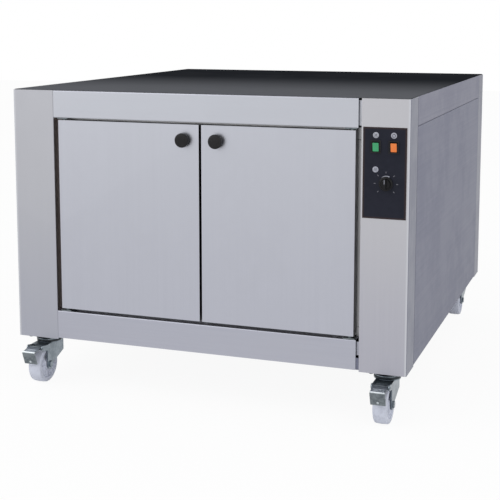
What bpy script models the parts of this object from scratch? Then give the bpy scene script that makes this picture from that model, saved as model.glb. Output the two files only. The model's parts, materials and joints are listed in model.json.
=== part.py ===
"""Proofing cabinet on four castors, with two doors and a control column."""
import math

import bmesh
import bpy
from mathutils import Matrix, Vector

# Overall sizes, in metres
CABINET_WIDTH = 1.080
CABINET_DEPTH = 1.200
BODY_HEIGHT = 0.680
LEG_CLEARANCE = 0.130
FIT_GAP = 0.0003
CUT_OVERRUN = 0.004
WELD_OVERLAP = 0.001
MERGE_DISTANCE = 0.00001

# Sheet metal
SHEET = 0.0015
LINER_SHEET = 0.0012
DECK_SHEET = 0.0012
BEND_RADIUS = 0.0025

# Posts
POST_FACE = 0.120
POST_RETURN = 0.090
POST_LIP = 0.015
JAMB_DEPTH = 0.040
REAR_POST_FACE = 0.060

# Rails, side skins and base
TOP_BAND = 0.074
BOTTOM_RAIL = 0.076
HEM_RAISE = 0.004
RAIL_FLANGE = 0.040
SKIN_FLANGE = 0.022
RAIL_JOINT = 0.0075
JOGGLE_SETBACK = 0.008
BASE_EDGE = 0.030
DECK_INSET = 0.003
DECK_RIB_DEPTH = 0.026
DECK_RIB_WIDTH = 0.050
DECK_RIB_COUNT = 3
DECK_RIB_END = 0.030

# Louvres at the back of the control bay
LOUVRE_COUNT = 5
LOUVRE_LENGTH = 0.070
LOUVRE_WIDTH = 0.005
LOUVRE_PITCH = 0.018
LOUVRE_FROM_TOP = 0.120
CONTROL_BAY_INSET = 0.105

# Doors
DOOR_THICKNESS = 0.025
DOOR_RECESS = 0.001
DOOR_SIDE_GAP = 0.014
DOOR_MEETING_GAP = 0.007
DOOR_TOP_GAP = 0.006
DOOR_BOTTOM_GAP = 0.008
DOOR_LINER_EDGE = 0.007
PIVOT_INSET = 0.012
PIVOT_PIN_RADIUS = 0.004
PIVOT_PIN_REACH = 0.010
PIVOT_PLATE = 0.0025
PIVOT_PLATE_WIDTH = 0.030
PIVOT_SHOULDER_RADIUS = 0.007
PIN_SEGMENTS = 16

# Door knobs
DOOR_KNOB_RADIUS = 0.0185
DOOR_KNOB_HEAD = 0.012
DOOR_KNOB_ROUND = 0.004
DOOR_KNOB_STEM_RADIUS = 0.007
DOOR_KNOB_STEM = 0.007
DOOR_KNOB_FROM_EDGE = 0.042
DOOR_KNOB_FROM_TOP = 0.040
KNOB_SEGMENTS = 32
ROUND_STEPS = 3

# Chamber
CHAMBER_INSET = 0.050
CHAMBER_REAR = 1.140
CHAMBER_SILL = 0.026
CHAMBER_HEAD = 0.032
SEAL_WIDTH = 0.010
SEAL_THICKNESS = 0.005
CATCH_WIDTH = 0.046
CATCH_HEIGHT = 0.016

# Tray racks
RACK_FROM_WALL = 0.066
RUNNER_LEDGE = 0.020
RUNNER_FROM_FLOOR = 0.094
RUNNER_FROM_CEILING = 0.074
RUNNER_COUNT = 5
RUNNER_HEEL = 0.016
RACK_FRONT = 0.046
RACK_REAR = 1.126
UPRIGHT_WIDTH = 0.026
UPRIGHT_THICKNESS = 0.018
UPRIGHT_COUNT = 3
UPRIGHT_END = 0.014

# Heater, guard and water pan
GUARD_HALF_WIDTH = 0.190
GUARD_FRONT = 0.180
GUARD_REAR = 0.820
GUARD_HEIGHT = 0.045
GUARD_FOOT = 0.016
GUARD_SLOT_ROWS = 6
GUARD_SLOT_COLUMNS = 4
GUARD_SLOT_LENGTH = 0.060
GUARD_SLOT_WIDTH = 0.010
HEATER_RADIUS = 0.004
HEATER_RISE = 0.022
HEATER_HALF_WIDTH = 0.110
HEATER_FRONT = 0.260
HEATER_REAR = 0.740
HEATER_BEND_STEPS = 4
HEATER_LEGS = 4
HEATER_TAIL = 0.020
PAN_HALF_WIDTH = 0.150
PAN_FRONT = 0.240
PAN_REAR = 0.560
PAN_HEIGHT = 0.040
PAN_RIM = 0.010
PAN_SHEET = 0.001

# Control facia and its controls
FACIA_WIDTH = 0.107
FACIA_HEIGHT = 0.222
FACIA_FROM_TOP = 0.070
FACIA_THICKNESS = 0.0015
FACIA_OFFSET = -0.0015
SWITCH_FROM_TOP = 0.047
SWITCH_SPREAD = 0.022
BEZEL_WIDTH = 0.025
BEZEL_HEIGHT = 0.031
BEZEL_THICKNESS = 0.002
HOUSING_WIDTH = 0.0215
HOUSING_HEIGHT = 0.0270
HOUSING_DEPTH = 0.024
HOUSING_WALL = 0.0012
ROCKER_PIVOT_DEPTH = 0.001
ROCKER_REACH = 0.006
ROCKER_ROOT = 0.005
ROCKER_TILT = math.radians(8)
ROCKER_DIP = 0.0015
ROCKER_SIDE_CLEARANCE = 0.0005
ROCKER_END_CLEARANCE = 0.0011
ROCKER_PIN_RADIUS = 0.0012
BLADE_WIDTH = 0.006
BLADE_LENGTH = 0.009
BLADE_THICKNESS = 0.0008
DIAL_FROM_TOP = 0.136
DIAL_OFFSET = 0.004
DIAL_KNOB_RADIUS = 0.0170
DIAL_KNOB_SKIRT = 0.004
DIAL_KNOB_BODY_RADIUS = 0.0140
DIAL_KNOB_HEIGHT = 0.012
DIAL_GRIP_WIDTH = 0.007
DIAL_GRIP_HEIGHT = 0.007
SPINDLE_RADIUS = 0.003
SPINDLE_CLEARANCE = 0.0010
SPINDLE_SOCKET = 0.010
THERMOSTAT_WIDTH = 0.044
THERMOSTAT_DEPTH = 0.032
THERMOSTAT_SOCKET = 0.008
CAPILLARY_RADIUS = 0.0012
BULB_RADIUS = 0.004
BULB_LENGTH = 0.080
BULB_FROM_CEILING = 0.030
BULB_FRONT = 0.200
CAPILLARY_RISE = 0.020
CAPILLARY_BEND = 0.0035
TERMINAL_LENGTH = 0.090
TERMINAL_WIDTH = 0.030
TERMINAL_HEIGHT = 0.024
TERMINAL_GROOVE = 0.004
TERMINAL_WAYS = 5
TERMINAL_FRONT = 0.300

# Cable gland
GLAND_BORE = 0.005
GLAND_NECK = 0.010
GLAND_NUT = 0.014
GLAND_NUT_THICKNESS = 0.006
GLAND_OUT = 0.020
GLAND_CAP_RADIUS = 0.0115
GLAND_HEIGHT = 0.070
GLAND_SEGMENTS = 12

# Castors
WHEEL_RADIUS = 0.050
WHEEL_WIDTH = 0.036
WHEEL_HUB_RADIUS = 0.017
WHEEL_DISH = 0.006
WHEEL_RIM = 0.012
WHEEL_CROWN = 0.003
WHEEL_SEGMENTS = 32
AXLE_RADIUS = 0.005
CASTOR_TRAIL = 0.038
CASTOR_SIDE = 0.059
CASTOR_SETBACK = 0.058
CASTOR_PLATE_WIDTH = 0.085
CASTOR_PLATE_DEPTH = 0.105
CASTOR_PLATE = 0.0035
RACE_RADIUS = 0.036
RACE_HEIGHT = 0.013
HEAD_RADIUS = 0.034
HEAD_HEIGHT = 0.009
CROWN_THICKNESS = 0.004
FORK_ARM = 0.0035
FORK_CLEARANCE = 0.002
FORK_FRONT = 0.060
FORK_REAR = 0.036
FORK_SKIRT = 0.032
FORK_FOOT_RADIUS = 0.014
FORK_ARC_STEPS = 8
KINGPIN_RADIUS = 0.006
KINGPIN_NUT = 0.010
KINGPIN_NUT_THICKNESS = 0.005
NUT_RADIUS = 0.009
NUT_THICKNESS = 0.005
NUT_SEGMENTS = 6
PEDAL_PIN_AHEAD = 0.038
PEDAL_PIN_HEIGHT = 0.104
PEDAL_PIN_RADIUS = 0.0025
PEDAL_BARREL_RADIUS = 0.0050
PEDAL_REACH = 0.077
PEDAL_TIP_HEIGHT = 0.100
PEDAL_SHOE_AHEAD = 0.0635
PEDAL_SHOE_HEIGHT = 0.066
PEDAL_THICKNESS = 0.0025
PEDAL_EAR_RADIUS = 0.007
PEDAL_EAR_DROP = 0.012

# Places that follow from the sizes above; y counts back from the front face
HALF_WIDTH = CABINET_WIDTH / 2
TOP_Z = LEG_CLEARANCE + BODY_HEIGHT
FRAME_TOP = TOP_Z - DECK_SHEET - FIT_GAP
BASE_Z = LEG_CLEARANCE + HEM_RAISE
PAN_Z = BASE_Z + FIT_GAP
RAIL_BOTTOM = TOP_Z - TOP_BAND
SILL_Z = BASE_Z + BOTTOM_RAIL
OPENING_HALF = HALF_WIDTH - POST_FACE
DOOR_TOP = RAIL_BOTTOM - DOOR_TOP_GAP
DOOR_BOTTOM = SILL_Z + DOOR_BOTTOM_GAP
DOOR_OUTER = OPENING_HALF - DOOR_SIDE_GAP
DOOR_INNER = DOOR_MEETING_GAP / 2
DOOR_BACK = DOOR_RECESS + DOOR_THICKNESS
PIVOT_X = DOOR_OUTER - PIVOT_INSET
PIVOT_Y = DOOR_RECESS + DOOR_THICKNESS / 2
SEAL_Y = DOOR_BACK + FIT_GAP
LINER_Y = SEAL_Y + SEAL_THICKNESS + FIT_GAP
FLOOR_Z = SILL_Z + CHAMBER_SILL
CEILING_Z = RAIL_BOTTOM - CHAMBER_HEAD
CHAMBER_HALF_WIDTH = OPENING_HALF - CHAMBER_INSET
SEAL_HALF_WIDTH = PIVOT_X - PIVOT_INSET - FIT_GAP
RACK_HALF_WIDTH = CHAMBER_HALF_WIDTH - RACK_FROM_WALL
RUNNER_FIRST = FLOOR_Z + RUNNER_FROM_FLOOR
RUNNER_PITCH = (CEILING_Z - RUNNER_FROM_CEILING - RUNNER_FIRST) / (RUNNER_COUNT - 1)
GUARD_Z = FLOOR_Z + FIT_GAP
GUARD_TOP = GUARD_Z + GUARD_HEIGHT
FACIA_TOP = TOP_Z - FACIA_FROM_TOP
FACIA_X = HALF_WIDTH - POST_FACE / 2 + FACIA_OFFSET
FACIA_FRONT = -FIT_GAP - FACIA_THICKNESS
SWITCH_Z = FACIA_TOP - SWITCH_FROM_TOP
DIAL_X = FACIA_X + DIAL_OFFSET
DIAL_Z = FACIA_TOP - DIAL_FROM_TOP
PEDAL_OUT = CASTOR_TRAIL + PEDAL_REACH - CASTOR_SETBACK
FRONT_PLANE = PEDAL_OUT - (PEDAL_OUT + CABINET_DEPTH + GLAND_OUT) / 2

AXES = {"XY": Matrix(((1, 0, 0), (0, 1, 0), (0, 0, 1))),
        "YZ": Matrix(((0, 0, 1), (1, 0, 0), (0, 1, 0))),
        "ZX": Matrix(((0, 1, 0), (0, 0, 1), (1, 0, 0)))}
TURNS = {"Z": Matrix.Identity(3), "X": Matrix.Rotation(math.pi / 2, 3, "Y"),
         "front": Matrix.Rotation(math.pi / 2, 3, "X"), "back": Matrix.Rotation(-math.pi / 2, 3, "X")}

for leftover in list(bpy.data.objects):
    bpy.data.objects.remove(leftover, do_unlink=True)

parts = bpy.data.collections.new("proofing_cabinet")
cutters = bpy.data.collections.new("cutters")
bpy.context.scene.collection.children.link(parts)
bpy.context.scene.collection.children.link(cutters)


def material(name, color, roughness, metallic=0.0):
    surface = bpy.data.materials.new(name)
    surface.use_nodes = True
    shader = surface.node_tree.nodes["Principled BSDF"]
    shader.inputs["Base Color"].default_value = (*color, 1.0)
    shader.inputs["Roughness"].default_value = roughness
    shader.inputs["Metallic"].default_value = metallic
    return surface


STEEL = material("satin_steel", (0.62, 0.63, 0.66), 0.35, 1.0)
SIDE_STEEL = material("side_steel", (0.42, 0.42, 0.47), 0.4, 0.9)
DECK_DARK = material("dark_deck", (0.06, 0.06, 0.065), 0.55, 0.3)
LINER = material("liner_steel", (0.6, 0.6, 0.6), 0.4, 1.0)
ZINC = material("zinc_plate", (0.55, 0.57, 0.58), 0.35, 1.0)
BLACK = material("black_plastic", (0.02, 0.02, 0.022), 0.4)
FACIA = material("facia_film", (0.03, 0.03, 0.045), 0.45)
GREEN = material("green_lens", (0.02, 0.4, 0.2), 0.3)
ORANGE = material("orange_lens", (0.85, 0.25, 0.03), 0.3)
WHEEL = material("grey_wheel", (0.5, 0.51, 0.6), 0.5)
SEAL = material("seal_rubber", (0.03, 0.025, 0.022), 0.7)
BRASS = material("brass", (0.7, 0.5, 0.2), 0.35, 1.0)


def empty(name, place, parent=None):
    pivot = bpy.data.objects.new(name, None)
    pivot.location = place
    pivot.parent = parent
    parts.objects.link(pivot)
    return pivot


def keep(name, mesh, look, parent, place=(0, 0, 0), turn=None):
    piece = bpy.data.objects.new(name, mesh)
    piece.location = place
    if turn is not None:
        piece.rotation_euler = turn.to_euler()
    piece.parent = parent
    if look is None:
        piece.hide_render = True
        piece.display_type = "WIRE"
        cutters.objects.link(piece)
    else:
        mesh.materials.clear()
        mesh.materials.append(look)
        parts.objects.link(piece)
    return piece


def block(name, low, high, look, parent):
    size = [b - a for a, b in zip(low, high)]
    middle = [(a + b) / 2 for a, b in zip(low, high)]
    shape = bmesh.new()
    bmesh.ops.create_cube(shape, size=1)
    bmesh.ops.scale(shape, vec=size, verts=shape.verts)
    mesh = bpy.data.meshes.new(name)
    shape.to_mesh(mesh)
    shape.free()
    return keep(name, mesh, look, parent, middle)


def rod(name, start, radius, length, look, parent, axis="Z", segments=PIN_SEGMENTS):
    shape = bmesh.new()
    bmesh.ops.create_cone(shape, cap_ends=True, segments=segments, radius1=radius, radius2=radius,
                          depth=length)
    mesh = bpy.data.meshes.new(name)
    shape.to_mesh(mesh)
    shape.free()
    mesh.shade_smooth()
    mesh.set_sharp_from_angle(angle=math.radians(40))
    place = Vector(start) + TURNS[axis] @ Vector((0, 0, length / 2))
    return keep(name, mesh, look, parent, place, TURNS[axis])


def turned(name, profile, look, parent, place, axis="Z", segments=KNOB_SEGMENTS, ring=False, start=0.0):
    """Profile of (radius, height) pairs, read down the outer side."""
    mesh = bpy.data.meshes.new(name)
    edges = [(i, i + 1) for i in range(len(profile) - 1)]
    if ring:
        edges.append((len(profile) - 1, 0))
    corner = Matrix.Rotation(start, 3, "Z")
    mesh.from_pydata([corner @ Vector((radius, 0, height)) for radius, height in profile], edges, [])
    piece = keep(name, mesh, look, parent, place, TURNS[axis])
    screw = piece.modifiers.new("turn", "SCREW")
    screw.steps = segments
    screw.render_steps = segments
    screw.use_merge_vertices = True
    screw.merge_threshold = MERGE_DISTANCE
    return piece


def bent(corners, radius=BEND_RADIUS):
    """Rounds each inner corner of an open path, as a sheet is folded."""
    path = [Vector(corners[0])]
    for before, corner, after in zip(corners, corners[1:], corners[2:]):
        corner = Vector(corner)
        inward = (Vector(before) - corner).normalized()
        onward = (Vector(after) - corner).normalized()
        reach = radius / math.tan(inward.angle(onward) / 2)
        first = corner + inward * reach
        last = corner + onward * reach
        path += [first, (first + last) / 4 + corner / 2, last]
    path.append(Vector(corners[-1]))
    return path


def folded(name, corners, plane, start, end, look, parent, thickness=SHEET):
    """Sheet along the path in a plane; the metal lies to the left of the path."""
    path = bent(corners)
    turn = AXES[plane]
    points = [turn @ Vector((*point, level)) for level in (start, end) for point in path]
    count = len(path)
    faces = [(i, i + 1, count + i + 1, count + i) for i in range(count - 1)]
    mesh = bpy.data.meshes.new(name)
    mesh.from_pydata(points, [], faces)
    piece = keep(name, mesh, look, parent)
    thicken(piece, thickness)
    return piece


def thicken(piece, thickness):
    skin = piece.modifiers.new("sheet", "SOLIDIFY")
    skin.thickness = thickness
    skin.offset = -1
    skin.use_even_offset = True


def tray(name, low, high, open_side, look, parent, thickness=SHEET):
    """Folded tray: a box with one side (axis, sign) left open."""
    piece = block(name, low, high, look, parent)
    axis, sign = open_side
    shape = bmesh.new()
    shape.from_mesh(piece.data)
    lids = [face for face in shape.faces if face.normal[axis] * sign > 1 / 2]
    bmesh.ops.delete(shape, geom=lids, context="FACES_ONLY")
    shape.to_mesh(piece.data)
    shape.free()
    thicken(piece, thickness)
    return piece


def plate(name, outline, plane, start, end, look, parent):
    """Flat outline extruded between two levels, then made a mesh."""
    curve = bpy.data.curves.new(name, "CURVE")
    curve.dimensions = "2D"
    curve.fill_mode = "BOTH"
    curve.extrude = (end - start) / 2
    spline = curve.splines.new("POLY")
    spline.points.add(len(outline) - 1)
    for point, (u, v) in zip(spline.points, outline):
        point.co = (u, v, 0, 1)
    spline.use_cyclic_u = True
    middle = AXES[plane] @ Vector((0, 0, (start + end) / 2))
    return solid(name, curve, look, parent, middle, AXES[plane])


def solid(name, curve, look, parent, place=(0, 0, 0), turn=None):
    draft = bpy.data.objects.new(name, curve)
    cutters.objects.link(draft)
    bpy.context.view_layer.update()
    mesh = bpy.data.meshes.new_from_object(draft.evaluated_get(bpy.context.evaluated_depsgraph_get()))
    bpy.data.objects.remove(draft, do_unlink=True)
    shape = bmesh.new()
    shape.from_mesh(mesh)
    bmesh.ops.remove_doubles(shape, verts=shape.verts, dist=MERGE_DISTANCE)
    bmesh.ops.recalc_face_normals(shape, faces=shape.faces)
    shape.to_mesh(mesh)
    shape.free()
    return keep(name, mesh, look, parent, place, turn)


def tube(name, points, radius, look, parent, resolution=1):
    curve = bpy.data.curves.new(name, "CURVE")
    curve.dimensions = "3D"
    curve.bevel_depth = radius
    curve.bevel_resolution = resolution
    curve.use_fill_caps = True
    spline = curve.splines.new("POLY")
    spline.points.add(len(points) - 1)
    for point, place in zip(spline.points, points):
        point.co = (*place, 1)
    return solid(name, curve, look, parent)


def combine(piece, other, operation):
    step = piece.modifiers.new(other.name, "BOOLEAN")
    step.operation = operation
    step.solver = "EXACT"
    step.object = other
    return piece


def cut(piece, *others):
    for other in others:
        combine(piece, other, "DIFFERENCE")
    return piece


def weld(piece, *others):
    for other in others:
        combine(piece, other, "UNION")
    return piece


def one_mesh(name, pieces, parent):
    """Joins cutters that do not touch into one cutter."""
    shape = bmesh.new()
    for piece in pieces:
        matrix = Matrix.LocRotScale(piece.location, piece.rotation_euler, None)
        start = len(shape.verts)
        shape.from_mesh(piece.data)
        shape.verts.ensure_lookup_table()
        bmesh.ops.transform(shape, matrix=matrix, verts=shape.verts[start:])
        bpy.data.objects.remove(piece, do_unlink=True)
    mesh = bpy.data.meshes.new(name)
    shape.to_mesh(mesh)
    shape.free()
    return keep(name, mesh, None, parent)


cabinet = empty("cabinet", (0, FRONT_PLANE, 0))


def posts():
    inner_top = PAN_Z + BASE_EDGE + FIT_GAP
    for side, word in ((-1, "left"), (1, "right")):
        front = [(OPENING_HALF, JAMB_DEPTH), (OPENING_HALF, 0), (HALF_WIDTH, 0), (HALF_WIDTH, POST_RETURN),
                 (HALF_WIDTH - POST_LIP, POST_RETURN)]
        rear = [(HALF_WIDTH - POST_LIP, CABINET_DEPTH - POST_RETURN),
                (HALF_WIDTH, CABINET_DEPTH - POST_RETURN),
                (HALF_WIDTH, CABINET_DEPTH), (HALF_WIDTH - REAR_POST_FACE, CABINET_DEPTH)]
        names = {"front": "control_post" if side > 0 else "left_front_post", "rear": word + "_rear_post"}
        for end, corners in (("front", front), ("rear", rear)):
            if side < 0:
                corners = [(-x, y) for x, y in reversed(corners)]
            post = folded(names[end], corners, "XY", LEG_CLEARANCE, FRAME_TOP, STEEL, cabinet)
            inside = sorted((side * (OPENING_HALF - CUT_OVERRUN), side * (HALF_WIDTH - SHEET - FIT_GAP / 2)))
            depth = (SHEET + FIT_GAP / 2, CABINET_DEPTH - SHEET - FIT_GAP / 2)
            if end == "front":
                depth = (depth[0], POST_RETURN + CUT_OVERRUN)
            else:
                depth = (CABINET_DEPTH - POST_RETURN - CUT_OVERRUN, depth[1])
            notch = block(names[end] + "_notch", (inside[0], depth[0], LEG_CLEARANCE - CUT_OVERRUN),
                          (inside[1], depth[1], inner_top), None, cabinet)
            cut(post, notch)
            if names[end] == "control_post":
                cut(post, *control_holes("post"))


def control_holes(label):
    """Cut-outs for two switches and the thermostat spindle."""
    depth = (FACIA_FRONT - CUT_OVERRUN, SHEET + CUT_OVERRUN)
    half_width = HOUSING_WIDTH / 2 + FIT_GAP
    half_height = HOUSING_HEIGHT / 2 + FIT_GAP
    holes = []
    for side in (-1, 1):
        x = FACIA_X + side * SWITCH_SPREAD
        holes.append(block(label + "_hole", (x - half_width, depth[0], SWITCH_Z - half_height),
                           (x + half_width, depth[1], SWITCH_Z + half_height), None, cabinet))
    holes.append(rod(label + "_hole", (DIAL_X, depth[1], DIAL_Z), SPINDLE_RADIUS + SPINDLE_CLEARANCE,
                     depth[1] - depth[0], None, cabinet, "front"))
    return [one_mesh(label + "_holes", holes, cabinet)]


def rails():
    left = -OPENING_HALF + FIT_GAP
    right = OPENING_HALF - RAIL_JOINT
    tab_end = OPENING_HALF - FIT_GAP
    edge = SHEET + CUT_OVERRUN
    top = [(RAIL_FLANGE, FRAME_TOP), (0, FRAME_TOP), (0, RAIL_BOTTOM), (RAIL_FLANGE, RAIL_BOTTOM)]
    bottom = [(RAIL_FLANGE, SILL_Z), (0, SILL_Z), (0, BASE_Z)]
    for name, section, low, high in (("top_front_rail", top, RAIL_BOTTOM, FRAME_TOP),
                                     ("bottom_front_rail", bottom, PAN_Z + BASE_EDGE, SILL_Z)):
        rail = folded(name, section, "YZ", left, right, STEEL, cabinet)
        tab = block(name + "_tab", (right - 2 * edge, JOGGLE_SETBACK, low + edge),
                    (tab_end, JOGGLE_SETBACK + SHEET, high - edge), None, cabinet)
        arm = block(name + "_arm", (right - 2 * edge, SHEET - WELD_OVERLAP, low + edge),
                    (right - edge, JOGGLE_SETBACK + WELD_OVERLAP, high - edge), None, cabinet)
        weld(rail, arm, tab)


def skins():
    front = POST_RETURN + FIT_GAP
    rear = CABINET_DEPTH - POST_RETURN - FIT_GAP
    for side, word in ((-1, "left"), (1, "right")):
        band = [(side * (HALF_WIDTH - SKIN_FLANGE), FRAME_TOP), (side * HALF_WIDTH, FRAME_TOP),
                (side * HALF_WIDTH, RAIL_BOTTOM + FIT_GAP),
                (side * (HALF_WIDTH - SKIN_FLANGE), RAIL_BOTTOM + FIT_GAP)]
        skin = [(side * (HALF_WIDTH - SKIN_FLANGE), RAIL_BOTTOM), (side * HALF_WIDTH, RAIL_BOTTOM),
                (side * HALF_WIDTH, BASE_Z)]
        for name, section in ((word + "_top_band", band), (word + "_side_panel", skin)):
            path = [(z, x) for x, z in section]
            if side < 0:
                path.reverse()
            folded(name, path, "ZX", front, rear, SIDE_STEEL, cabinet)


def base_and_back():
    pan_half = HALF_WIDTH - SHEET - FIT_GAP
    pan_edge = SHEET + FIT_GAP
    tray("base_pan", (-pan_half, pan_edge, PAN_Z), (pan_half, CABINET_DEPTH - pan_edge, PAN_Z + BASE_EDGE),
         (2, 1), SIDE_STEEL, cabinet)
    half = HALF_WIDTH - REAR_POST_FACE - FIT_GAP
    section = [(CABINET_DEPTH, BASE_Z), (CABINET_DEPTH, FRAME_TOP), (CABINET_DEPTH - SKIN_FLANGE, FRAME_TOP)]
    back = folded("back_panel", section, "YZ", -half, half, SIDE_STEEL, cabinet)
    x = HALF_WIDTH - CONTROL_BAY_INSET
    reach = (CABINET_DEPTH - SHEET - CUT_OVERRUN, CABINET_DEPTH + CUT_OVERRUN)
    slots = []
    for row in range(LOUVRE_COUNT):
        z = TOP_Z - LOUVRE_FROM_TOP - row * LOUVRE_PITCH
        slots.append(block("louvre", (x - LOUVRE_LENGTH / 2, reach[0], z - LOUVRE_WIDTH / 2),
                           (x + LOUVRE_LENGTH / 2, reach[1], z + LOUVRE_WIDTH / 2), None, cabinet))
    slots.append(rod("gland_hole", (x, reach[0], BASE_Z + GLAND_HEIGHT), GLAND_NECK + FIT_GAP,
                     reach[1] - reach[0], None, cabinet, "back", GLAND_SEGMENTS))
    cut(back, one_mesh("back_cuts", slots, cabinet))
    nut_face = -SHEET - FIT_GAP
    nut_back = nut_face - GLAND_NUT_THICKNESS
    lip = (GLAND_BORE + GLAND_CAP_RADIUS) / 2
    profile = [(GLAND_BORE, GLAND_OUT), (lip, GLAND_OUT), (GLAND_CAP_RADIUS, GLAND_OUT / 2),
               (GLAND_CAP_RADIUS, FIT_GAP), (GLAND_NECK, FIT_GAP), (GLAND_NECK, nut_face),
               (GLAND_NUT, nut_face),
               (GLAND_NUT, nut_back), (GLAND_BORE, nut_back)]
    turned("cable_gland", profile, BLACK, cabinet, (x, CABINET_DEPTH, BASE_Z + GLAND_HEIGHT), "back",
           GLAND_SEGMENTS, ring=True)


def deck():
    half = HALF_WIDTH - DECK_INSET
    under = TOP_Z - DECK_SHEET
    sheet = block("top_deck", (-half, DECK_INSET, under), (half, CABINET_DEPTH - DECK_INSET, TOP_Z),
                  DECK_DARK, cabinet)
    rib_half = HALF_WIDTH - SKIN_FLANGE - DECK_RIB_END
    for row in range(DECK_RIB_COUNT):
        y = CABINET_DEPTH * (row + 1) / (DECK_RIB_COUNT + 1)
        front = y - DECK_RIB_WIDTH / 2
        back = y + DECK_RIB_WIDTH / 2
        bottom = under - DECK_RIB_DEPTH
        root = under + DECK_SHEET / 2
        rib = folded("deck_rib", [(front, root), (front, bottom), (back, bottom), (back, root)], "YZ",
                     -rib_half, rib_half, None, cabinet)
        weld(sheet, rib)


def chamber():
    reach = OPENING_HALF - FIT_GAP
    folded("chamber_floor", [(CHAMBER_REAR, FLOOR_Z), (LINER_Y, FLOOR_Z), (LINER_Y, SILL_Z + FIT_GAP)], "YZ",
           -reach, reach, LINER, cabinet, LINER_SHEET)
    folded("chamber_ceiling", [(LINER_Y, RAIL_BOTTOM - FIT_GAP), (LINER_Y, CEILING_Z),
                               (CHAMBER_REAR, CEILING_Z)],
           "YZ", -reach, reach, LINER, cabinet, LINER_SHEET)
    low = FLOOR_Z + FIT_GAP
    high = CEILING_Z - FIT_GAP
    wall_path = [(CHAMBER_HALF_WIDTH, CHAMBER_REAR), (CHAMBER_HALF_WIDTH, LINER_Y), (reach, LINER_Y)]
    right_wall = folded("chamber_right_wall", wall_path, "XY", low, high, LINER, cabinet, LINER_SHEET)
    mirrored = [(-x, y) for x, y in reversed(wall_path)]
    folded("chamber_left_wall", mirrored, "XY", low, high, LINER, cabinet, LINER_SHEET)
    inner = CHAMBER_HALF_WIDTH - CUT_OVERRUN
    hole = rod("capillary_hole", (inner, BULB_FRONT - CAPILLARY_RISE, CEILING_Z - BULB_FROM_CEILING),
               CAPILLARY_RADIUS + FIT_GAP, LINER_SHEET + 2 * CUT_OVERRUN, None, cabinet, "X")
    cut(right_wall, hole)
    back_y = CHAMBER_REAR + FIT_GAP
    back = block("chamber_back", (-reach, back_y, FLOOR_Z - LINER_SHEET),
                 (reach, back_y + LINER_SHEET, CEILING_Z + LINER_SHEET), LINER, cabinet)
    holes = [rod("tail_hole", (side * HEATER_HALF_WIDTH, back_y - CUT_OVERRUN, FLOOR_Z + HEATER_RISE),
                 HEATER_RADIUS + FIT_GAP, LINER_SHEET + 2 * CUT_OVERRUN, None, cabinet,
                 "back") for side in (-1, 1)]
    cut(back, one_mesh("tail_holes", holes, cabinet))


def door_seal():
    """Rubber frame on the chamber's front flanges, inside the sweep of the doors' turning corners."""
    low = FLOOR_Z - SEAL_WIDTH
    high = CEILING_Z + SEAL_WIDTH
    back = SEAL_Y + SEAL_THICKNESS
    inner = SEAL_HALF_WIDTH - SEAL_WIDTH
    frame = block("door_seal", (-SEAL_HALF_WIDTH, SEAL_Y, low), (SEAL_HALF_WIDTH, back, high), SEAL, cabinet)
    mouth = block("seal_mouth", (-inner, SEAL_Y - CUT_OVERRUN, low + SEAL_WIDTH),
                  (inner, back + CUT_OVERRUN, high - SEAL_WIDTH), None, cabinet)
    cut(frame, mouth)
    block("door_catch", (-CATCH_WIDTH / 2, SEAL_Y, high + FIT_GAP),
          (CATCH_WIDTH / 2, back, high + FIT_GAP + CATCH_HEIGHT), BLACK, cabinet)


def racks():
    span = RACK_REAR - RACK_FRONT - 2 * UPRIGHT_END - UPRIGHT_WIDTH
    for side, word in ((-1, "left"), (1, "right")):
        uprights = []
        for place in range(UPRIGHT_COUNT):
            front = RACK_FRONT + UPRIGHT_END + span * place / (UPRIGHT_COUNT - 1)
            back = front + UPRIGHT_WIDTH
            outer = RACK_HALF_WIDTH + UPRIGHT_THICKNESS
            path = [(outer, back), (RACK_HALF_WIDTH, back), (RACK_HALF_WIDTH, front), (outer, front)]
            if side < 0:
                path = [(-x, y) for x, y in reversed(path)]
            first = place == 0
            uprights.append(folded(word + "_rack" if first else "upright", path, "XY", FLOOR_Z + FIT_GAP,
                                   CEILING_Z - FIT_GAP, LINER if first else None, cabinet, LINER_SHEET))
        heel_x = RACK_HALF_WIDTH + LINER_SHEET / 2
        for level in range(RUNNER_COUNT):
            z = RUNNER_FIRST + level * RUNNER_PITCH
            path = [(z + RUNNER_HEEL, side * heel_x), (z, side * heel_x),
                    (z, side * (heel_x - RUNNER_LEDGE))]
            if side < 0:
                path.reverse()
            uprights.append(folded("runner", path, "ZX", RACK_FRONT, RACK_REAR, None, cabinet, LINER_SHEET))
        weld(*uprights)


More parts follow.
